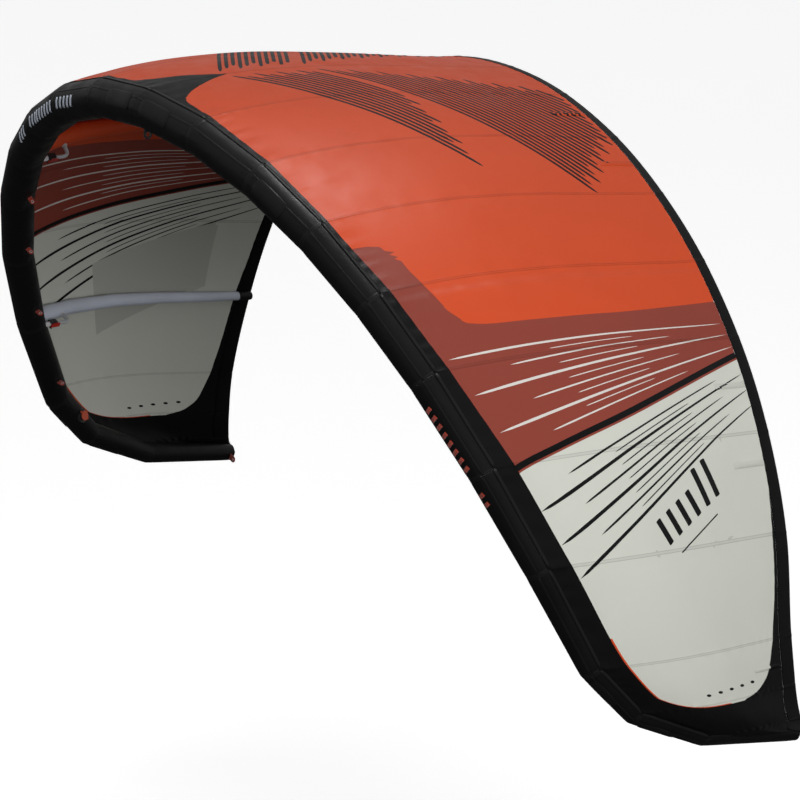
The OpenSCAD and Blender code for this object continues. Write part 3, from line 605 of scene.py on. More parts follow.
# Black edge behind the leading edge: a spur over the centre strut, then slowly wider to the tip
FRONT_EDGE = [(0, 0.200), (0.10, 0.150), (0.21, 0.105), (0.33, 0.055), (0.45, 0.026), (0.7, 0.014),
              (1.2, 0.010), (3.0, 0.010), (4.0, 0.022), (5.0, 0.033), (6.0, 0.055), (7.0, 0.072),
              (8.0, 0.105), (8.65, 0.134), (9.3, 0.20)]
REAR_START, REAR_EDGE = 6.4, [(6.4, 0.955), (7.0, 0.933), (7.6, 0.915), (8.0, 0.885), (8.45, 0.84),
                                    (8.78, 0.77), (9.0, 0.66), (9.06, 0.58)]
RED_LINE = [(0, 3.40), (0.058, 3.43), (0.092, 3.60), (0.105, 3.97), (0.125, 4.37), (0.155, 4.54),
            (0.3, 4.60), (0.55, 4.61), (1, 4.53)]
WHITE_LINE = [(0, 6.17), (0.057, 6.085), (0.20, 5.95), (0.52, 5.68), (0.96, 5.24), (1, 5.20)]
LINE_BLACK, LINE_RED = 0.058, 0.020     # widths of the black line and the red one behind it
TIP_END = 9.06
PIPING_FROM, PIPING_V, PIPING_J = 7.7, 0.008, 0.018     # orange piping round the front of the white field


def through(points, x):
    """A smooth curve through control points, without overshoot."""
    xs, ys = (np.array(c, float) for c in zip(*points))
    steps = np.diff(ys) / np.diff(xs)
    mean = (steps[1:] + steps[:-1]) / 2
    mean = np.where(steps[1:] * steps[:-1] <= 0, 0, mean)
    limit = 3 * np.minimum(np.abs(steps[1:]), np.abs(steps[:-1]))
    inner = np.clip(mean, -limit, limit)
    slopes = np.concatenate([[steps[0]], inner, [steps[-1]]])
    x = np.clip(np.asarray(x, float), xs[0], xs[-1])
    k = np.clip(np.searchsorted(xs, x, side="right") - 1, 0, len(xs) - 2)
    h = xs[k + 1] - xs[k]
    t = (x - xs[k]) / h
    return ((1 + 2 * t) * (1 - t) ** 2 * ys[k] + t * (1 - t) ** 2 * h * slopes[k]
            + t**2 * (3 - 2 * t) * ys[k + 1] + t**2 * (t - 1) * h * slopes[k + 1])


def tip_edge(v):
    """Joint where the white field ends, rounded at both corners."""
    v = np.asarray(v, float)
    ahead = 0.41 * np.abs((v - 0.52) / 0.39) ** 4
    behind = 1.06 * np.abs((v - 0.52) / 0.365) ** 4
    return TIP_END - np.where(v < 0.52, ahead, behind)


def rear_edge(j):
    return np.where(np.asarray(j) < REAR_START, 1.1, through(REAR_EDGE, j))


def field(j, v):
    """Material index of the plain panels."""
    white_line = through(WHITE_LINE, v)
    index = np.where(j < through(RED_LINE, v), 0, 1)
    index = np.where(j > white_line - LINE_BLACK - LINE_RED, 3, index)
    index = np.where(j > white_line - LINE_RED, 1, index)
    index = np.where(j > white_line, 2, index)
    front = through(FRONT_EDGE, j)
    piping = (j > PIPING_FROM) & ((v < front + PIPING_V) | ((j > tip_edge(v) - PIPING_J) & (v < 0.5)))
    outside = (v < front) | (v > rear_edge(j)) | (j > tip_edge(v))
    return np.where(outside, 3, np.where(piping, 0, index))


def field_lines():
    """The borders of the plain panels, as polylines of (j, v)."""
    js = np.arange(0, 8.9, 0.1)
    vs = np.linspace(0, 1, 41)
    white = through(WHITE_LINE, vs)
    lines = [
        list(zip(js, through(FRONT_EDGE, js))),
        list(zip(tip_edge(vs[4:37]), vs[4:37])),
        list(zip(through(RED_LINE, vs), vs)),
        [(j, float(rear_edge(j))) for j in np.arange(REAR_START, 9.06, 0.03)],
    ]
    near_tip = np.arange(PIPING_FROM, 8.9, 0.1)
    lines.append(list(zip(near_tip, through(FRONT_EDGE, near_tip) + PIPING_V)))
    lines.append(list(zip(tip_edge(vs[4:21]) - PIPING_J, vs[4:21])))
    for back in (0, LINE_RED, LINE_RED + LINE_BLACK):
        lines.append(list(zip(white - back, vs)))
    return lines


def long_mark(start, end, wide, thin, taper=0.12):
    """Outline of a printed line between two (j, v) points, pointed at both ends."""
    a, b = np.array(start, float), np.array(end, float)
    metric = np.array([0.35, 1.35])
    run = (b - a) * metric
    across = np.array([-run[1], run[0]]) / np.linalg.norm(run) / metric
    shares = np.array([0, taper * 0.3, taper, 0.5, 1 - taper, 1 - taper * 0.3, 1])
    shape = np.array([0, 0.7, 1, 1, 1, 0.7, 0])
    half = (wide + (thin - wide) * shares) * shape / 2
    line = a + np.outer(shares, b - a)
    left = line + half[:, None] * across
    right = line - half[:, None] * across
    return np.concatenate([left, right[-2:0:-1]])


def fan(front, rear, rays, v_start, v_end, wide, thin):
    """Printed rays of one fan. front and rear are (v, joint of ray 0, joints per ray)."""
    (v0, j0, step0), (v1, j1, step1) = front, rear

    def at(ray, v):
        a, b = j0 + step0 * ray, j1 + step1 * ray
        return a + (b - a) * (v - v0) / (v1 - v0), v

    return [
        long_mark(at(ray, v_start + 0.01 * ray), at(ray, v_end + 0.005 * ray), wide, thin)
        for ray in rays
    ]


WHITE_FAN = (0.05, 4.90, 0.395), (0.96, 4.82, 0.14)
BLACK_FAN = (0.065, 6.46, 0.345), (0.97, 5.38, 0.165)
WHITE_MARKS = (
    fan(*WHITE_FAN, (0, 1, 2), 0.045, 0.955, 0.010, 0.004)
    + fan(*WHITE_FAN, (0.5, 1.5, 2.45), 0.19, 0.75, 0.006, 0.003)
    + fan(*WHITE_FAN, (0.25, 0.75, 1.25, 1.75, 2.2), 0.33, 0.62, 0.0035, 0.0025)
)
BLACK_MARKS = (
    fan(*BLACK_FAN, (0, 1, 2), 0.06, 0.965, 0.013, 0.005)
    + fan(*BLACK_FAN, (-0.45, 0.5, 1.5), 0.20, 0.86, 0.008, 0.004)
    + fan(*BLACK_FAN, (-0.2, 0.25, 0.75, 1.25, 1.75), 0.38, 0.72, 0.004, 0.003)
)
# The stripes on the orange run in one direction: how far along it a metre of span and of chord go
STRIPE_ALONG, STRIPE_ACROSS = np.array([0.269, 0.875]), np.array([-0.173, 1.361])
STRIPE_PITCH, STRIPE_W = 0.025, 0.013


def stripe(start, end, off):
    """A printed stripe from start to end, at a distance off, all in metres on the flat cloth."""
    place = np.linalg.inv(np.array([STRIPE_ALONG, STRIPE_ACROSS]))
    return long_mark(place @ [start, off], place @ [end, off], STRIPE_W, STRIPE_W, 0.05)


def stripes():
    """Two groups of staggered parallel stripes; the rear group ends at the trailing edge."""
    marks = []
    for k in range(11):
        off = 0.25 + STRIPE_PITCH * k
        stagger = 0.03 * (k % 3)
        marks.append(stripe(0.20 + 0.7 * (off - 0.25) + stagger, 1.13 - 1.4 * (off - 0.25) - stagger, off))
    for k in range(23):
        off = 0.56 + STRIPE_PITCH * k
        stagger = 0.03 * (k % 3)
        hem = 0.875 * 0.965 + 0.269 * (1.361 * 0.965 - off) / 0.173
        start = 0.40 + 1.12 * (off - 0.56) + stagger
        end = min(1.50 - 0.2 * (off - 0.56) - stagger, hem)
        if end - start > 0.08:
            marks.append(stripe(start, end, off))
    return marks


def emblem():
    """A plain mark of leaning bars, the last ones taller, with a rule under them."""
    marks = []
    for k in range(6):
        foot = np.array([6.93 - 0.075 * k, 0.470 + 0.050 * k])
        tall = 0.24 if k < 4 else 0.36
        marks.append(long_mark(foot, foot + np.array([-tall, -0.028]), 0.030, 0.030, 0.02))
    marks.append(long_mark((7.03, 0.50), (6.72, 0.70), 0.005, 0.005, 0.02))
    return marks


def dots():
    """Small round marks near the tip."""
    turn = np.linspace(0, 2 * math.pi, 10, endpoint=False)
    ring = np.stack([np.cos(turn) * 0.011 / 0.34, np.sin(turn) * 0.011 / 0.8], axis=1)
    return [ring + (8.78 - 0.02 * k, 0.40 + 0.075 * k) for k in range(5)]


MARKS = [(m, 4) for m in WHITE_MARKS] + [(m, 5) for m in BLACK_MARKS + stripes() + emblem() + dots()]

# ---- canopy ----------------------------------------------------------------------------------

COLUMNS_PER_BAY, ROWS = 16, 40
FLAT_J, FLAT_V = 0.35, 1.35     # metres per joint and per chord while the cloth is laid out flat
FINEST = 0.025


def inside(points, outline):
    """Which points lie in a closed outline."""
    x, y = points[:, 0], points[:, 1]
    hit = np.zeros(len(points), bool)
    for (x0, y0), (x1, y1) in zip(outline, np.roll(outline, -1, axis=0)):
        if y0 == y1:
            continue
        crosses = (y0 > y) != (y1 > y)
        hit ^= crosses & (x < (x1 - x0) * (y - y0) / (y1 - y0) + x0)
    return hit


def finer(line):
    """The same polyline of (j, w) with points no further apart than the mesh can follow."""
    dense = [np.array(line[0], float)]
    for a, b in zip(line[:-1], line[1:]):
        a, b = np.array(a, float), np.array(b, float)
        steps = max(1, math.ceil(np.linalg.norm((b - a) * (FLAT_J, FLAT_V)) / FINEST))
        dense.extend(a + (b - a) * k / steps for k in range(1, steps + 1))
    return dense


def clipped(line, low, high):
    """The parts of a polyline of (j, w) between two joints and on the cloth, as pairs of points."""
    box = ((low, high), (0.0, 1.0))
    for a, b in zip(line[:-1], line[1:]):
        a, b = np.array(a, float), np.array(b, float)
        t0, t1 = 0.0, 1.0
        for axis, (lo, hi) in enumerate(box):
            step = b[axis] - a[axis]
            if abs(step) < 1e-12:
                if not lo <= a[axis] <= hi:
                    t0, t1 = 1.0, 0.0
                continue
            t = sorted(((lo - a[axis]) / step, (hi - a[axis]) / step))
            t0, t1 = max(t0, t[0]), min(t1, t[1])
        if t1 - t0 > 1e-9:
            yield a + (b - a) * t0, a + (b - a) * t1


def station_columns(low, high):
    """Columns of the cloth grid, closer together beside each seam."""
    columns = set()
    for k in range(low, high):
        step = np.array([0, SEAM_HALF * 0.6, SEAM_HALF * 1.5]) / BAY_W[k]
        inner = np.linspace(0, 1, COLUMNS_PER_BAY + 1)[1:-1]
        columns.update(np.round(k + np.concatenate([step, inner, 1 - step]), 5))
    return sorted(columns)


def laid_out(low, high):
    """Triangles of the cloth between two joints, cut along every colour border: (j, v), faces."""
    rows = (1 - np.cos(np.linspace(0, math.pi, ROWS + 1))) / 2
    rows = 0.5 * rows + 0.5 * np.linspace(0, 1, ROWS + 1)
    points = [Vector((j * FLAT_J, w * FLAT_V)) for j in station_columns(low, high) for w in rows]
    edges = []
    borders = field_lines() + [np.concatenate([m, m[:1]]) for m, _ in MARKS]
    for border in borders:
        line = [(j, v / float(band_v(j))) for j, v in border]
        for a, b in clipped(finer(line), low, high):
            edges.append((len(points), len(points) + 1))
            points.extend(Vector((p[0] * FLAT_J, p[1] * FLAT_V)) for p in (a, b))
    made = geometry.delaunay_2d_cdt(points, edges, [], 0, 1e-6, False)
    flat = np.array([(p[0] / FLAT_J, p[1] / FLAT_V) for p in made[0]])
    flat[:, 1] *= band_v(flat[:, 0])
    faces = np.array(made[2])
    return flat, faces


def colors_at(middle):
    """Material index of the canopy, printed marks included, at points (j, v)."""
    picks = field(middle[:, 0], middle[:, 1])
    for outline, index in MARKS:
        low, high = outline.min(axis=0), outline.max(axis=0)
        near = np.where(((middle >= low) & (middle <= high)).all(axis=1))[0]
        hit = near[inside(middle[near], outline)]
        picks[hit] = index
    return picks


def canopy_mesh(name, runs):
    """A sewn sheet of cloth over runs of (low joint, high joint, side)."""
    verts, faces, picks, cloth_uv, seam_uv, normals = [], [], [], [], [], []
    count = 0
    for low, high, side in runs:
        flat, tris = laid_out(low, high)
        j, v = flat[:, 0], flat[:, 1]
        points, outward = skin(j, v), skin_normal(j, v)
        p = points[tris]
        facing = np.einsum("ij,ij->i", np.cross(p[:, 1] - p[:, 0], p[:, 2] - p[:, 0]), outward[tris[:, 0]])
        turned = np.where(((facing < 0) ^ (side < 0))[:, None], tris[:, ::-1], tris)
        verts.append(points * [side, 1, 1])
        normals.append(outward * [side, 1, 1])
        faces.append(turned + count)
        picks.append(colors_at(flat[tris].mean(axis=1)))
        cloth_uv.append(np.stack([share(j) * HALF_LE, v * np.interp(j, range(BAYS + 1), CHORDS)], axis=1))
        seam_uv.append(flat)
        count += len(flat)
    uv = {"cloth": np.concatenate(cloth_uv), "seam": np.concatenate(seam_uv)}
    piece = add_piece(name, np.concatenate(verts), np.concatenate(faces), CANOPY_MATERIALS,
                      np.concatenate(picks), uv)
    piece.data.normals_split_custom_set_from_vertices([tuple(n) for n in np.concatenate(normals)])
    return piece


def cloth_size(low, high, sides=1):
    """(width, length, area) of the cloth between two joints, measured along its smooth surface."""
    js = np.linspace(low, high, 12 * (high - low) + 1)[:, None]
    grid = cloth(js, np.linspace(0, 1, 41) * band_v(js))
    across, along = np.diff(grid, axis=0), np.diff(grid, axis=1)
    width = np.linalg.norm(across, axis=2).sum(axis=0).max()
    length = np.linalg.norm(along, axis=2).sum(axis=1).max()
    area = np.linalg.norm(np.cross(across[:, :-1], along[:-1]), axis=2).sum()
    return sides * float(width), float(length), sides * float(area)


def make_canopy():
    piece = canopy_mesh("canopy_centre_cloth", [(0, INNER, 1), (0, INNER, -1)])
    declare_cloth("canopy_centre", cloth_size(0, INNER, 2))
    panels = (INNER, OUTER, "canopy_mid", "canopy_dark_red"), (OUTER, BAYS, "canopy_tip", "canopy_white")
    for low, high, node, slot in panels:
        for side, word in SIDES:
            piece = canopy_mesh(f"{node}_{word}_cloth", [(low, high, side)])
            declare_cloth(f"{node}_{word}", cloth_size(low, high))


def declare_cloth(node, size):
    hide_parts(node)


def make_bands():
    """Thicker black hem along the trailing edge."""
    js = np.array(station_columns(0, BAYS))[:, None]
    shares = np.array([0, 0.12, 0.5, 0.9, 1.0, 0.9, 0.5, 0.12])
    lifts = np.array([0.1, 1.0, 0.75, 0.9, -0.4, -1.6, -1.5, -1.7]) / 1000
    v = band_v(js) * (1 - shares) + shares
    rings = skin(np.broadcast_to(js, v.shape), v, lifts)
    front, rear = rings[:, 0], rings[:, 4]
    length = float(np.linalg.norm(np.diff(rear, axis=0), axis=1).sum())
    for side, word in SIDES:
        hem = Bundle()
        hem.grid(rings, side=side, closed=True, caps=True)
        piece = hem.piece(f"te_hem_{word}", [BLACK], "black_cloth", f"te_band_{word}")


SPUR_HALF, SPUR_FILL = 0.42, 0.45       # reach in joints each way, and share of its rectangle


def make_spur():
    """Black reinforcement over the centre strut, a little proud of the canopy."""
    js = np.linspace(-SPUR_HALF, SPUR_HALF, 33)
    edge = through(FRONT_EDGE, np.abs(js)) * 0.97
    rows = np.linspace(0, 1, 17)
    v = 0.005 + edge[:, None] * rows * 0.96
    rim = np.minimum(rows, 1 - rows)[None, :] * 4
    lift = 0.0002 + 0.0014 * np.clip(rim, 0, 1) * np.clip((SPUR_HALF - np.abs(js)) * 12, 0, 1)[:, None]
    points = skin(np.repeat(js[:, None], len(rows), axis=1), v, lift)
    patch = Bundle()
    patch.grid(points)
    piece = patch.piece("centre_spur_cloth", [BLACK], "black_cloth", "centre_spur_patch")


BACKING_AT, BACKING_LEAN = (6.55, 7.45, 0.34, 0.80), 0.55


def make_backings():
    """Plain reinforcement under the printed mark, on the inside of each white panel."""
    first, last, front, rear = BACKING_AT
    v, across = np.meshgrid(np.linspace(front, rear, 25), np.linspace(0, 1, 13), indexing="ij")
    j = first + (last - first) * across - BACKING_LEAN * (v - front) / (rear - front)
    side_rim = np.minimum(np.minimum(across, 1 - across) * 8, 1)
    end_rim = np.minimum(np.minimum(v - front, rear - v) * 30, 1)
    points = skin(j, v, -0.0003 - 0.0009 * side_rim * end_rim)
    length = float(np.linalg.norm(np.diff(points[:, 6], axis=0), axis=1).sum())
    for side, word in SIDES:
        patch = Bundle()
        patch.grid(points, side=side)
        piece = patch.piece(f"mark_backing_{word}", [BACKING], "canopy_white")


BATTEN_JOINTS = [1.5, 2.5, 5.5, 6.3, 8.5]
BATTEN_LEN, BATTEN_W = 0.165, 0.024


def make_battens():
    """Pockets in the colour of the panel under them, puffed over their battens."""
    pockets = Bundle()
    rows, columns = 15, 9
    row = np.arange(rows)
    puff = np.cos(np.linspace(-math.pi / 2, math.pi / 2, columns)) ** 0.5
    ends = np.clip(np.minimum(row, rows - 1 - row) / 1.5, 0, 1)
    lift = 0.0004 + 0.0040 * puff * ends[:, None]
    for side, _ in SIDES:
        for j in BATTEN_JOINTS:
            k = int(j)
            end = float(band_v(j)) - 0.002
            vs = np.linspace(end - BATTEN_LEN / CHORDS[k], end, rows)
            js = j + np.linspace(-0.5, 0.5, columns) * BATTEN_W / BAY_W[k]
            v, across = np.meshgrid(vs, js, indexing="ij")
            pockets.grid(skin(across, v, lift), side=side)
            corners = np.stack([across, v], axis=-1)
            middle = (corners[1:, 1:] + corners[:-1, :-1]) / 2
            picks = colors_at(middle.reshape(-1, 2)).reshape(rows - 1, columns - 1)[:, ::side]
            pockets.picks[-picks.size:] = [int(pick) for pick in picks.ravel()]
    pockets.piece("batten_pockets", CANOPY_MATERIALS, "batten_plastic", "te_battens")


# ---- leading edge ----------------------------------------------------------------------------

TUBE_ROWS, TUBE_COLUMNS = 26, 56
ATTACH_ANGLE = 95
FRONT_SEAM = 142
# The bars of each side: first and last in joints, count, angle and half height in degrees, finish
TUBE_BARS = {
    "right": (5.25, 6.25, 12, 186, 17, RED_WEB, "canopy_orange"),
    "left": (1.5, 3.4, 20, 178, 17, STRUT_CLOTH, "canopy_white"),
}
TAPE_HALF = 0.0045
TAPE_PROFILE = ((2.2, 0.0001), (1.6, 0.0011), (0.4, 0.0012), (0.05, 0.0009))    # half widths, lift


def make_tubes():
    f = np.linspace(0, 1, TUBE_ROWS)[:, None] * 0.9990 + 0.0005
    angles = np.linspace(0, 360, TUBE_COLUMNS, endpoint=False)
    for side, word in SIDES:
        tube = Bundle()
        for i in range(BAYS):
            tube.grid(tube_skin(i, f, angles), side=side, turn=-1, closed=True)
        piece = tube.piece(f"le_skin_{word}", [TUBE], "tube_cloth", f"le_sleeve_{word}")


def make_tube_seams():
    """Tape over every joint of the tube, the strip that holds the canopy, and the front seam."""
    turn = np.linspace(0, 360, 49)
    fs = np.linspace(0.004, 0.996, 21)
    seams = Bundle()
    for side, _ in SIDES:
        for i in range(BAYS):
            for angle, width, thick in ((ATTACH_ANGLE, 0.015, 0.0030), (FRONT_SEAM, 0.009, 0.0008)):
                strip = strip_on_tube(i, fs, np.full(21, float(angle)), width, thick, side)
                seams.grid(strip[:, ::-side], closed=True, caps=True)
            if i > 0:
                after, before = TAPE_HALF / BAY_W[i], TAPE_HALF / BAY_W[i - 1]
                seams.grid([tube_skin(i, after * k, turn, lift) for k, lift in TAPE_PROFILE], side=side)
                seams.grid([tube_skin(i - 1, 1 - before * k, turn, lift)
                            for k, lift in reversed(TAPE_PROFILE)], side=side)
    seams.piece("tube_seam_tapes", [TUBE_TAPE], "tube_cloth")


def make_tube_bars():
    """Plain leaning bars on the tube, orange on the right and white on the left."""
    lean = np.linspace(-1, 1, 7)
    for side, word in SIDES:
        first, last, count, angle, tall, material, slot = TUBE_BARS[word]
        bars = Bundle()
        for s in np.linspace(first, last, count):
            i, f = int(s), s - int(s)
            if not 0.10 < f < 0.90:
                continue
            on_guard = i in SCUFF_SEGMENTS and 0.08 < f < 0.62
            strip = strip_on_tube(i, f + 0.015 * lean, angle + tall * lean, 0.016, 0.0004, side,
                                  0.0031 if on_guard else 0.0002)
            bars.grid(strip[:, ::-side], closed=True, caps=True)
        bars.piece(f"tube_bars_{word}", [material], slot)


def rounded(n):
    """Unit square grid of n by n points with its corners rounded off."""
    u = np.sin(np.linspace(-math.pi / 2, math.pi / 2, n))
    x, y = np.meshgrid(u, u, indexing="ij")
    pull = 1 - 0.09 * (x**2 * y**2)
    return x * pull, y * pull


def rim_of(x, y, width):
    """Height of a patch over its unit square: 0 at the edge, 1 from a rim's width inwards."""
    return np.clip(np.minimum(1 - np.abs(x), 1 - np.abs(y)) / width, 0, 1) ** 0.5


def patch_on_tube(bundle, i, f, angle, length, width, height, side):
    """A sewn patch on segment i, standing height off it in its middle."""
    x, y = rounded(13)
    fs = f + x * length / 2 / BAY_W[i]
    angles = angle + np.degrees(y * width / 2 / tube_radius(i, f))
    bundle.grid(tube_skin(i, fs, angles, 0.0003 + height * rim_of(x, y, 0.16)), side=side)


SCUFF_SEGMENTS, SCUFF_ANGLE = [0, 2, 8, 9], 160
BRIDLE_SEGMENTS, BRIDLE_F, BRIDLE_ANGLE = [4, 5, 6, 7], 0.72, -78
BRIDLE_REACH, BRIDLE_W, EYE_R = 0.034, 0.020, 0.004
REAR_F, REAR_REACH, REAR_W = 0.955, 0.038, 0.026
TETHER_W, TETHER_EYE_R = 0.036, 0.009
TAB_T = 0.005
# Section of a tab from its eye out and back: share of the way to the outline, level
TAB_LAYERS = ((0.0, 0.86), (0.12, 1.0), (0.25, 0.9), (0.88, 0.9), (0.97, 0.7), (1.0, 0.3), (1.0, -0.3),
              (0.97, -0.7), (0.88, -0.9), (0.25, -0.9), (0.12, -1.0), (0.0, -0.86), (0.0, 0.86))
STITCH_PITCH = 0.0030
EYE_PICK, THREAD_PICK = 1, 2        # material indices of a tab's eye and stitches


def make_patches():
    pads, webs = Bundle(), Bundle()
    for side, _ in SIDES:
        for i in SCUFF_SEGMENTS:
            wide = math.radians(54) * (LE_R[i] + LE_R[i + 1]) / 2
            patch_on_tube(pads, i, 0.35, SCUFF_ANGLE, 0.5 * BAY_W[i], wide, 0.0026, side)
        for i in BRIDLE_SEGMENTS:
            patch_on_tube(webs, i, BRIDLE_F, BRIDLE_ANGLE, 0.070, 0.040, 0.0014, side)
    piece = pads.piece("scuff_guards", [ROUGH_CLOTH], "scuff_cloth", "scuff_pads")
    webs.piece("bridle_backing", [TUBE_TAPE], "tube_cloth", "bridle_patches")


# ---- webbing tabs ----------------------------------------------------------------------------


class Frame:
    """A local frame: origin o, with the unit axes x, y and z."""

    def __init__(self, o, x, y, z):
        self.o, self.axes = np.array(o), np.array([x, y, z])

    def at(self, points):
        return self.o + np.asarray(points) @ self.axes


def tube_frame(i, f, angle):
    """x out of the tube at that angle, z along it."""
    z = SEG_DIR[i]
    x = tube_normal(i, angle)
    return Frame(LE[i] + (LE[i + 1] - LE[i]) * f, x, np.cross(z, x), z)


def tab_outline(back_by, width):
    """Outline round the eye: a half circle outwards, straight sides back to the tube."""
    t = np.linspace(0, 2 * math.pi, 64, endpoint=False)
    c, s = np.cos(t), np.sin(t)
    half = width / 2
    behind = np.where(c < 0, np.minimum(half / np.maximum(np.abs(s), 1e-6),
                                        back_by / np.maximum(np.abs(c), 1e-6)), half)
    return np.stack([behind * c, behind * s], axis=1)


def tab(bundle, place, eye, back_by, width, hole, side):
    """A flat webbing tab with a bound eye; eye is the eye's distance out from the frame."""
    outline = tab_outline(back_by, width)
    ring = outline / np.linalg.norm(outline, axis=1, keepdims=True) * hole
    half = TAB_T / 2
    loops = []
    for out, level in TAB_LAYERS:
        flat = ring + (outline - ring) * out
        height = np.full(len(flat), level * half)
        loops.append(place.at(np.column_stack([flat[:, 0] + eye, flat[:, 1], height])))
    bundle.grid(loops, side=side, closed=True)
    rim = np.linspace(0, 2 * math.pi, 9)
    stand = [(hole + 0.0009 - 0.0009 * math.cos(a), half + 0.0002 * math.sin(a)) for a in rim]
    turn = np.linspace(0, 2 * math.pi, 25)[:-1]
    for sign in (1, -1):
        rings = [place.at(np.column_stack([eye + r * np.cos(turn), r * np.sin(turn), np.full(24, sign * z)]))
                 for r, z in stand]
        bundle.grid(rings, EYE_PICK, side, sign, closed=True)


def stitch_box(bundle, place, low, high, half_width, side):
    """A crossed box of stitches on both faces of a tab."""
    corners = [(low, -half_width), (high, -half_width), (high, half_width), (low, half_width),
               (low, -half_width), (high, half_width)]
    for z in (TAB_T * 0.46, -TAB_T * 0.46):
        for start, end in zip(corners[:-1], corners[1:]):
            start, end = np.array([*start, z]), np.array([*end, z])
            stitches = max(2, int(np.linalg.norm(end - start) / STITCH_PITCH))
            for k in range(stitches):
                a, b = (start + (end - start) * (k + part) / stitches for part in (0.15, 0.85))
                across = np.array([-(b - a)[1], (b - a)[0], 0]) / np.linalg.norm(b - a) * 0.0004
                rise = np.array([0, 0, math.copysign(0.0005, z)])
                quad = [[a - across, a + across], [a - across + rise, a + across + rise],
                        [b - across + rise, b + across + rise], [b - across, b + across]]
                bundle.grid(place.at(quad), THREAD_PICK, side, side)


def sewn_loop(bundle, i, f, angle, reach, width, side):
    """A webbing loop with its eye and stitches, standing on the tube."""
    place = tube_frame(i, f, angle)
    r = tube_radius(i, f)
    eye = r + 0.0001 + reach - width / 2
    tab(bundle, place, eye, eye - r + 0.001, width, EYE_R, side)
    stitch_box(bundle, place, r + 0.003, eye - 0.0065, width / 2 - 0.003, side)


def make_tabs():
    materials = [RED_WEB, FITTING, THREAD]
    for side, word in SIDES:
        bridle, rear = Bundle(), Bundle()
        for i in BRIDLE_SEGMENTS:
            sewn_loop(bridle, i, BRIDLE_F, BRIDLE_ANGLE, BRIDLE_REACH, BRIDLE_W, side)
        bridle.piece(f"bridle_loops_{word}", materials, "red_webbing", f"bridle_tabs_{word}")
        sewn_loop(rear, BAYS - 1, REAR_F, -90, REAR_REACH, REAR_W, side)
        rear.piece(f"rear_loop_{word}", materials, "red_webbing", f"rear_tab_{word}")
    strap = Bundle()
    below = Frame((0, 0, 0), (0, 0, -1), (0, 1, 0), (1, 0, 0))
    tab(strap, below, 0.0, DROP + 0.001, TETHER_W, TETHER_EYE_R, 1)
    strap.piece("tether_strap", [BLACK_WEB, ZINC, THREAD], "black_webbing", "tether_tab")


# ---- struts ----------------------------------------------------------------------------------


def strut_axis(j, v):
    """Middle of a strut, which runs straight between the seams of its sleeve."""
    _, back, out = AXES[j]
    shares = np.array([LE_R[j] * 0.5 / CHORDS[j], 0.2, 0.4, 0.6, 0.8, STRUT_END])
    height = cloth_h(j, shares) - STRUT_DROP - plain_strut_r(j, shares)
    flare = plain_strut_r(j, v) - strut_r(j, v)
    rise = np.interp(v, shares, height) + flare
    return LE[j] + (v * CHORDS[j])[..., None] * back + rise[..., None] * out


def plain_strut_r(j, v):
    return LE_R[j] * STRUT_SHARE + (STRUT_TAIL_R - LE_R[j] * STRUT_SHARE) * v


def strut_r(j, v):
    """Strut radius; it flares where it meets the leading edge."""
    ahead = np.clip(1 - (v - LE_R[j] / CHORDS[j]) * CHORDS[j] / 0.16, 0, 1)
    return plain_strut_r(j, v) * (1 + 0.16 * ahead**2)


def strut_ring(j, v, angles, lift=0.0):
    """Points round the strut at chord shares v; angle 0 is spanwise and 90 outwards."""
    along, _, out = AXES[j]
    v, angles = np.broadcast_arrays(np.asarray(v, float), np.radians(np.asarray(angles, float)))
    crown = (strut_r(j, v) + lift)[..., None]
    return strut_axis(j, v) + crown * (np.cos(angles)[..., None] * along + np.sin(angles)[..., None] * out)


def strut_bulge(j, v):
    return 0.0005 * np.sin(v * CHORDS[j] * 70) * np.exp(-((v - 0.09) / 0.05) ** 2)


STRUTS = (
    (0, 1, "strut_centre", TUBE, "tube_cloth"),
    (INNER, 1, "strut_inner_right", STRUT_RED, "canopy_orange"),
    (INNER, -1, "strut_inner_left", STRUT_RED, "canopy_orange"),
    (OUTER, 1, "strut_outer_right", STRUT_CLOTH, "strut_cloth"),
    (OUTER, -1, "strut_outer_left", STRUT_CLOTH, "strut_cloth"),
)


def make_struts():
    """Each strut's tube with its rounded end, the web up to the canopy and the seam underneath."""
    angles = np.linspace(0, 360, 40, endpoint=False)
    seam_angles, seam_lifts = np.array([266.5, 268, 272, 273.5]), np.array([0.0001, 0.0009, 0.0009, 0.0001])
    guard_lifts = np.array([0.0003] + [0.0017] * 7 + [0.0003])[:, None]
    guards = Bundle()
    for j, side, node, material, slot in STRUTS:
        body = Bundle()
        spanwise, back, out = AXES[j]
        shares = np.linspace(LE_R[j] * 0.72 / CHORDS[j], STRUT_END, 70)
        rings = list(strut_ring(j, shares[:, None], angles, strut_bulge(j, shares[:, None])))
        last, middle = rings[-1], rings[-1].mean(axis=0)
        for t in (0.25, 0.5, 0.75, 0.93, 1.0):
            squeeze = math.sqrt(max(0.0, 1 - t * t)) + 0.004
            rings.append(middle + (last - middle) * squeeze + back * float(strut_r(j, STRUT_END)) * 0.30 * t)
        body.grid(rings, side=side, turn=-1, closed=True, caps=True)
        top, thin = cloth(j, shares) - out * 0.0006, spanwise * 0.0012
        web = [strut_ring(j, shares, 96), top + thin, top - thin, strut_ring(j, shares, 84)]
        body.grid(np.stack(web, axis=1), side=side)
        body.grid(strut_ring(j, shares[8:, None], seam_angles, seam_lifts), side=side)
        piece = body.piece(f"{node}_skin", [material], slot, node)
        tail = np.linspace(STRUT_END - 0.060 / CHORDS[j], STRUT_END, 9)[:, None]
        guards.grid(strut_ring(j, tail, np.linspace(162, 378, 21), guard_lifts), side=side, turn=-1)
    guards.piece("strut_tail_guards", [ROUGH_CLOTH], "scuff_cloth", "strut_tail_pads")


# ---- zip and tip ends ------------------------------------------------------------------------

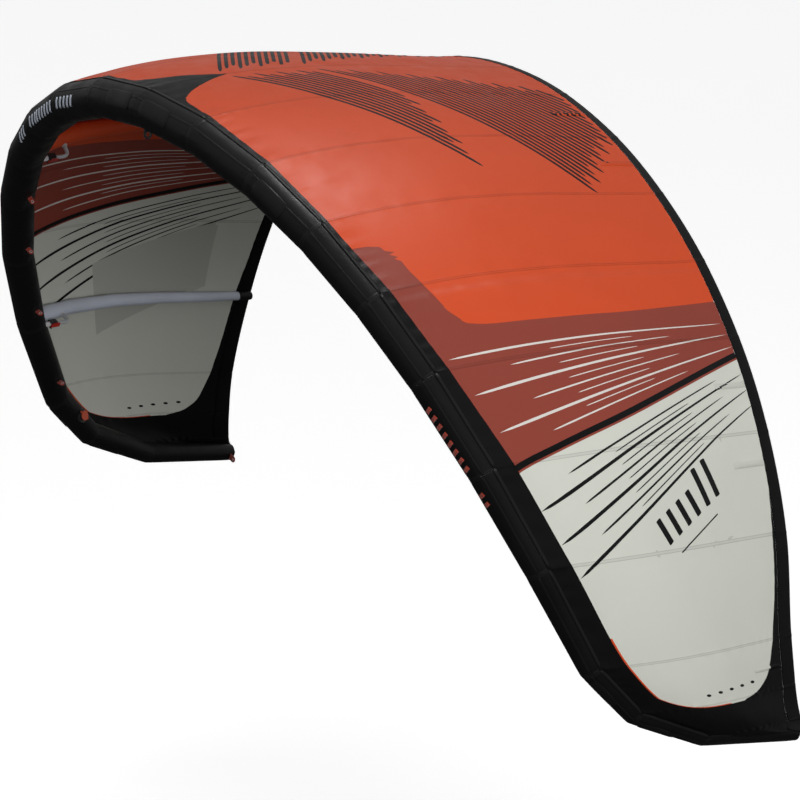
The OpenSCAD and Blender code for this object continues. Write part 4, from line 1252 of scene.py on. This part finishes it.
ZIP_SEG, ZIP_F, ZIP_ANGLE, ZIP_LEN, ZIP_W = 1, 0.5, -20, 0.270, 0.026
TOOTH_PITCH = 0.0030
TIP_FLAP_HALF, TIP_FLAP_FROM, TIP_FLAP_TO = 0.020, -0.030, 0.026
TIP_FLAP_STAND, TIP_FLAP_T = 0.0036, 0.002
# Section of a tip cap: share of the tube's radius, height in mm
TIP_PROFILE = ((1.0, 0.0), (1.0, 1.8), (0.95, 2.6), (0.85, 2.5), (0.80, 2.9), (0.4, 3.0), (0.01, 3.0))


def make_zip():
    """Zip over the bladder opening on the left: its tape and two rows of teeth."""
    zipper = Bundle()
    patch_on_tube(zipper, ZIP_SEG, ZIP_F, ZIP_ANGLE, ZIP_LEN, ZIP_W, 0.0010, -1)
    r = (LE_R[ZIP_SEG] + LE_R[ZIP_SEG + 1]) / 2
    edge = np.array([-1, -0.8, 0.8, 1]) * math.degrees(0.0013 / r)
    half_f = 0.0009 / BAY_W[ZIP_SEG]
    for k in range(int(ZIP_LEN * 0.93 / TOOTH_PITCH)):
        for row in (-1, 1):
            along = (k + row / 4) * TOOTH_PITCH - ZIP_LEN * 0.465
            at = ZIP_F + along / BAY_W[ZIP_SEG]
            angles = ZIP_ANGLE + row * math.degrees(0.0011 / r) + edge
            tooth = tube_skin(ZIP_SEG, [[at - half_f], [at + half_f]], angles,
                              np.array([0.0009, 0.0017, 0.0017, 0.0009]))
            zipper.grid(tooth, 1, -1, closed=True, caps=True)
    zipper.piece("bladder_zip", [BLACK_WEB, ZINC], "zip_cloth", "zip_tape")


def make_tips():
    """Cap over each end of the tube, and the flap that closes it."""
    base = tube_frame(BAYS - 1, 1.0, 0)
    turn = np.linspace(0, 2 * math.pi, 40, endpoint=False)
    circle = np.column_stack([np.cos(turn), np.sin(turn)]) * LE_R[BAYS]
    rings = [base.at(np.column_stack([circle * r, np.full(40, z / 1000)])) for r, z in TIP_PROFILE]
    x, y = rounded(17)
    rim = rim_of(x, y, 0.1)
    y = (TIP_FLAP_FROM + TIP_FLAP_TO) / 2 + y * (TIP_FLAP_TO - TIP_FLAP_FROM) / 2
    for side, word in SIDES:
        disc, flap = Bundle(), Bundle()
        disc.grid(rings, side=side, closed=True, caps=True)
        disc.piece(f"tip_end_{word}", [ROUGH_CLOTH], "tip_cloth", f"tip_cap_{word}")
        for level in (1, -1):
            z = TIP_FLAP_STAND + TIP_FLAP_T / 2 + level * TIP_FLAP_T / 2 * rim
            flap.grid(base.at(np.stack([x * TIP_FLAP_HALF, y, z], axis=-1)), side=side, turn=level)
        flap.piece(f"tip_closure_{word}", [ROUGH_CLOTH], "tip_cloth", f"tip_flap_{word}", f"tip_flap_{word}")


# ---- finish of the hard parts -----------------------------------------------------------------

FINISHES = {
    DARK_PLASTIC: ["inflate_valve_body", "dump_valve_body", "clip_bodies"],
    CAP_PLASTIC: ["inflate_valve_cap", "dump_valve_cap"],
    LEVER_PLASTIC: ["clip_lever_centre", "clip_lever_inner_right", "clip_lever_inner_left",
                    "clip_lever_outer_right", "clip_lever_outer_left"],
    RUBBER: ["inflate_check_flap"],
    HOSE_PLASTIC: ["one_pump_hoses"],
    FITTING: ["hose_elbows"],
    ZINC: ["zip_slider"],
    FILM: ["le_bladder", "strut_bladder_centre", "strut_bladder_inner_right", "strut_bladder_inner_left",
           "strut_bladder_outer_right", "strut_bladder_outer_left"],
}


def finish_hard_parts():
    for material, nodes in FINISHES.items():
        for name in nodes:
            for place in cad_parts[name].material_slots:
                place.material = material


# ---- studio ----------------------------------------------------------------------------------

FLOOR_Z, FLOOR_HALF = -3.4, 70.0
CAMERA_TURN, CAMERA_RISE, CAMERA_ROLL = map(math.radians, (52.0, 16.1, 5.03))
CAMERA_TARGET, CAMERA_FAR, CAMERA_LENS = (1.176, 0.340, -0.705), 16.33, 209.4
SKY, BELOW = 0.47, 0.045
FLOOR_GLOW, BACKDROP_GLOW, BACKDROP_R = 0.50, 0.98, 65.0


def staged(name, points, faces, material):
    """A floor or wall that the camera sees and the kite doesn't reflect."""
    mesh = bpy.data.meshes.new(name)
    mesh.from_pydata(points, [], faces)
    mesh.materials.append(material)
    made = bpy.data.objects.new(name, mesh)
    bpy.context.scene.collection.objects.link(made)
    made.visible_diffuse = made.visible_glossy = False
    return made


def make_floor():
    n = 9
    line = np.linspace(-FLOOR_HALF, FLOOR_HALF, n)
    paper = Nodes("floor_paper", (0.88, 0.88, 0.88), 0.9, **{"Specular IOR Level": 0.1})
    paper.mottle(paper.noise(0.4), 0.3, 0.7, 0.3, (0.86, 0.86, 0.865))
    paper.give(paper.bsdf, {"Emission Color": (1, 1, 1, 1), "Emission Strength": FLOOR_GLOW})
    points = [(x, y, FLOOR_Z) for x in line for y in line]
    staged("floor", points, [f[::-1] for f in grid_faces(n, n)], paper.done())


def make_backdrop():
    """A pale wall all round, seen behind the kite; the sky does the lighting."""
    turn = np.linspace(0, 2 * math.pi, 48, endpoint=False)
    points = [(BACKDROP_R * r * math.cos(a), BACKDROP_R * r * math.sin(a), z)
              for r, z in ((1.0, FLOOR_Z), (1.0, 40.0), (0.5, 70.0), (0.01, 75.0)) for a in turn]
    paint = Nodes("backdrop_paint", (0.0, 0.0, 0.0), 1.0, **{"Specular IOR Level": 0.0})
    paint.give(paint.bsdf, {"Emission Color": (1, 1, 1, 1), "Emission Strength": BACKDROP_GLOW})
    wall = staged("backdrop", points, grid_faces(4, 48, closed=True), paint.done())
    wall.visible_shadow = wall.visible_transmission = False


def area_light(name, place, aim, size, power, diffuse=True, glossy=True):
    light = bpy.data.lights.new(name, "AREA")
    light.shape, light.size, light.energy = "DISK", size, power
    lamp = bpy.data.objects.new(name, light)
    lamp.visible_diffuse, lamp.visible_glossy = diffuse, glossy
    lamp.location = place
    lamp.rotation_euler = (Vector(aim) - Vector(place)).to_track_quat("-Z", "Y").to_euler()
    bpy.context.scene.collection.objects.link(lamp)


def make_light():
    """An even pale sky, darker below the kite, and three soft lamps."""
    world = bpy.data.worlds.new("studio")
    world.use_nodes = True
    bpy.context.scene.world = world
    tree = world.node_tree
    place = tree.nodes.new("ShaderNodeTexCoord")
    split = tree.nodes.new("ShaderNodeSeparateXYZ")
    ramp = tree.nodes.new("ShaderNodeMapRange")
    tree.links.new(place.outputs["Generated"], split.inputs[0])
    tree.links.new(split.outputs[2], ramp.inputs[0])
    for k, value in ((1, -0.25), (2, 0.05), (3, BELOW), (4, SKY)):
        ramp.inputs[k].default_value = value
    tree.links.new(ramp.outputs[0], tree.nodes["Background"].inputs["Strength"])
    tree.nodes["Background"].inputs["Color"].default_value = (1, 1, 1, 1)
    area_light("top_lamp", (0.5, -1.5, 7.5), (0, 0.8, 0), 5.0, 150, glossy=False)
    area_light("front_lamp", (8.5, -1.6, 1.2), (1.4, 0.8, -0.9), 4.5, 400, glossy=False)
    area_light("side_lamp", (-5.5, -6.0, 4.0), (0, 0.5, -0.5), 4.0, 60, glossy=False)
    area_light("sheen_lamp", (0.3, 1.9, 6.3), (0.9, 0.25, -0.1), 1.8, 430, diffuse=False)


def make_camera():
    turn, rise = CAMERA_TURN, CAMERA_RISE
    back = Vector((math.sin(turn) * math.cos(rise), -math.cos(turn) * math.cos(rise), math.sin(rise)))
    level = Vector((math.cos(turn), math.sin(turn), 0))
    right = level * math.cos(CAMERA_ROLL) + back.cross(level) * math.sin(CAMERA_ROLL)
    camera = bpy.data.cameras.new("camera")
    camera.lens, camera.sensor_width, camera.clip_end = CAMERA_LENS, 36.0, 400.0
    view = bpy.data.objects.new("camera", camera)
    axes = Matrix((right, back.cross(right), back)).transposed().to_4x4()
    view.matrix_world = Matrix.Translation(Vector(CAMERA_TARGET) + back * CAMERA_FAR) @ axes
    bpy.context.scene.collection.objects.link(view)
    bpy.context.scene.camera = view


make_camera()
make_light()
make_floor()
make_backdrop()
make_canopy()
make_bands()
make_spur()
make_backings()
make_battens()
make_tubes()
make_tube_seams()
make_tube_bars()
make_patches()
make_tabs()
make_struts()
make_zip()
make_tips()
finish_hard_parts()
bpy.context.scene.view_settings.view_transform = "Standard"
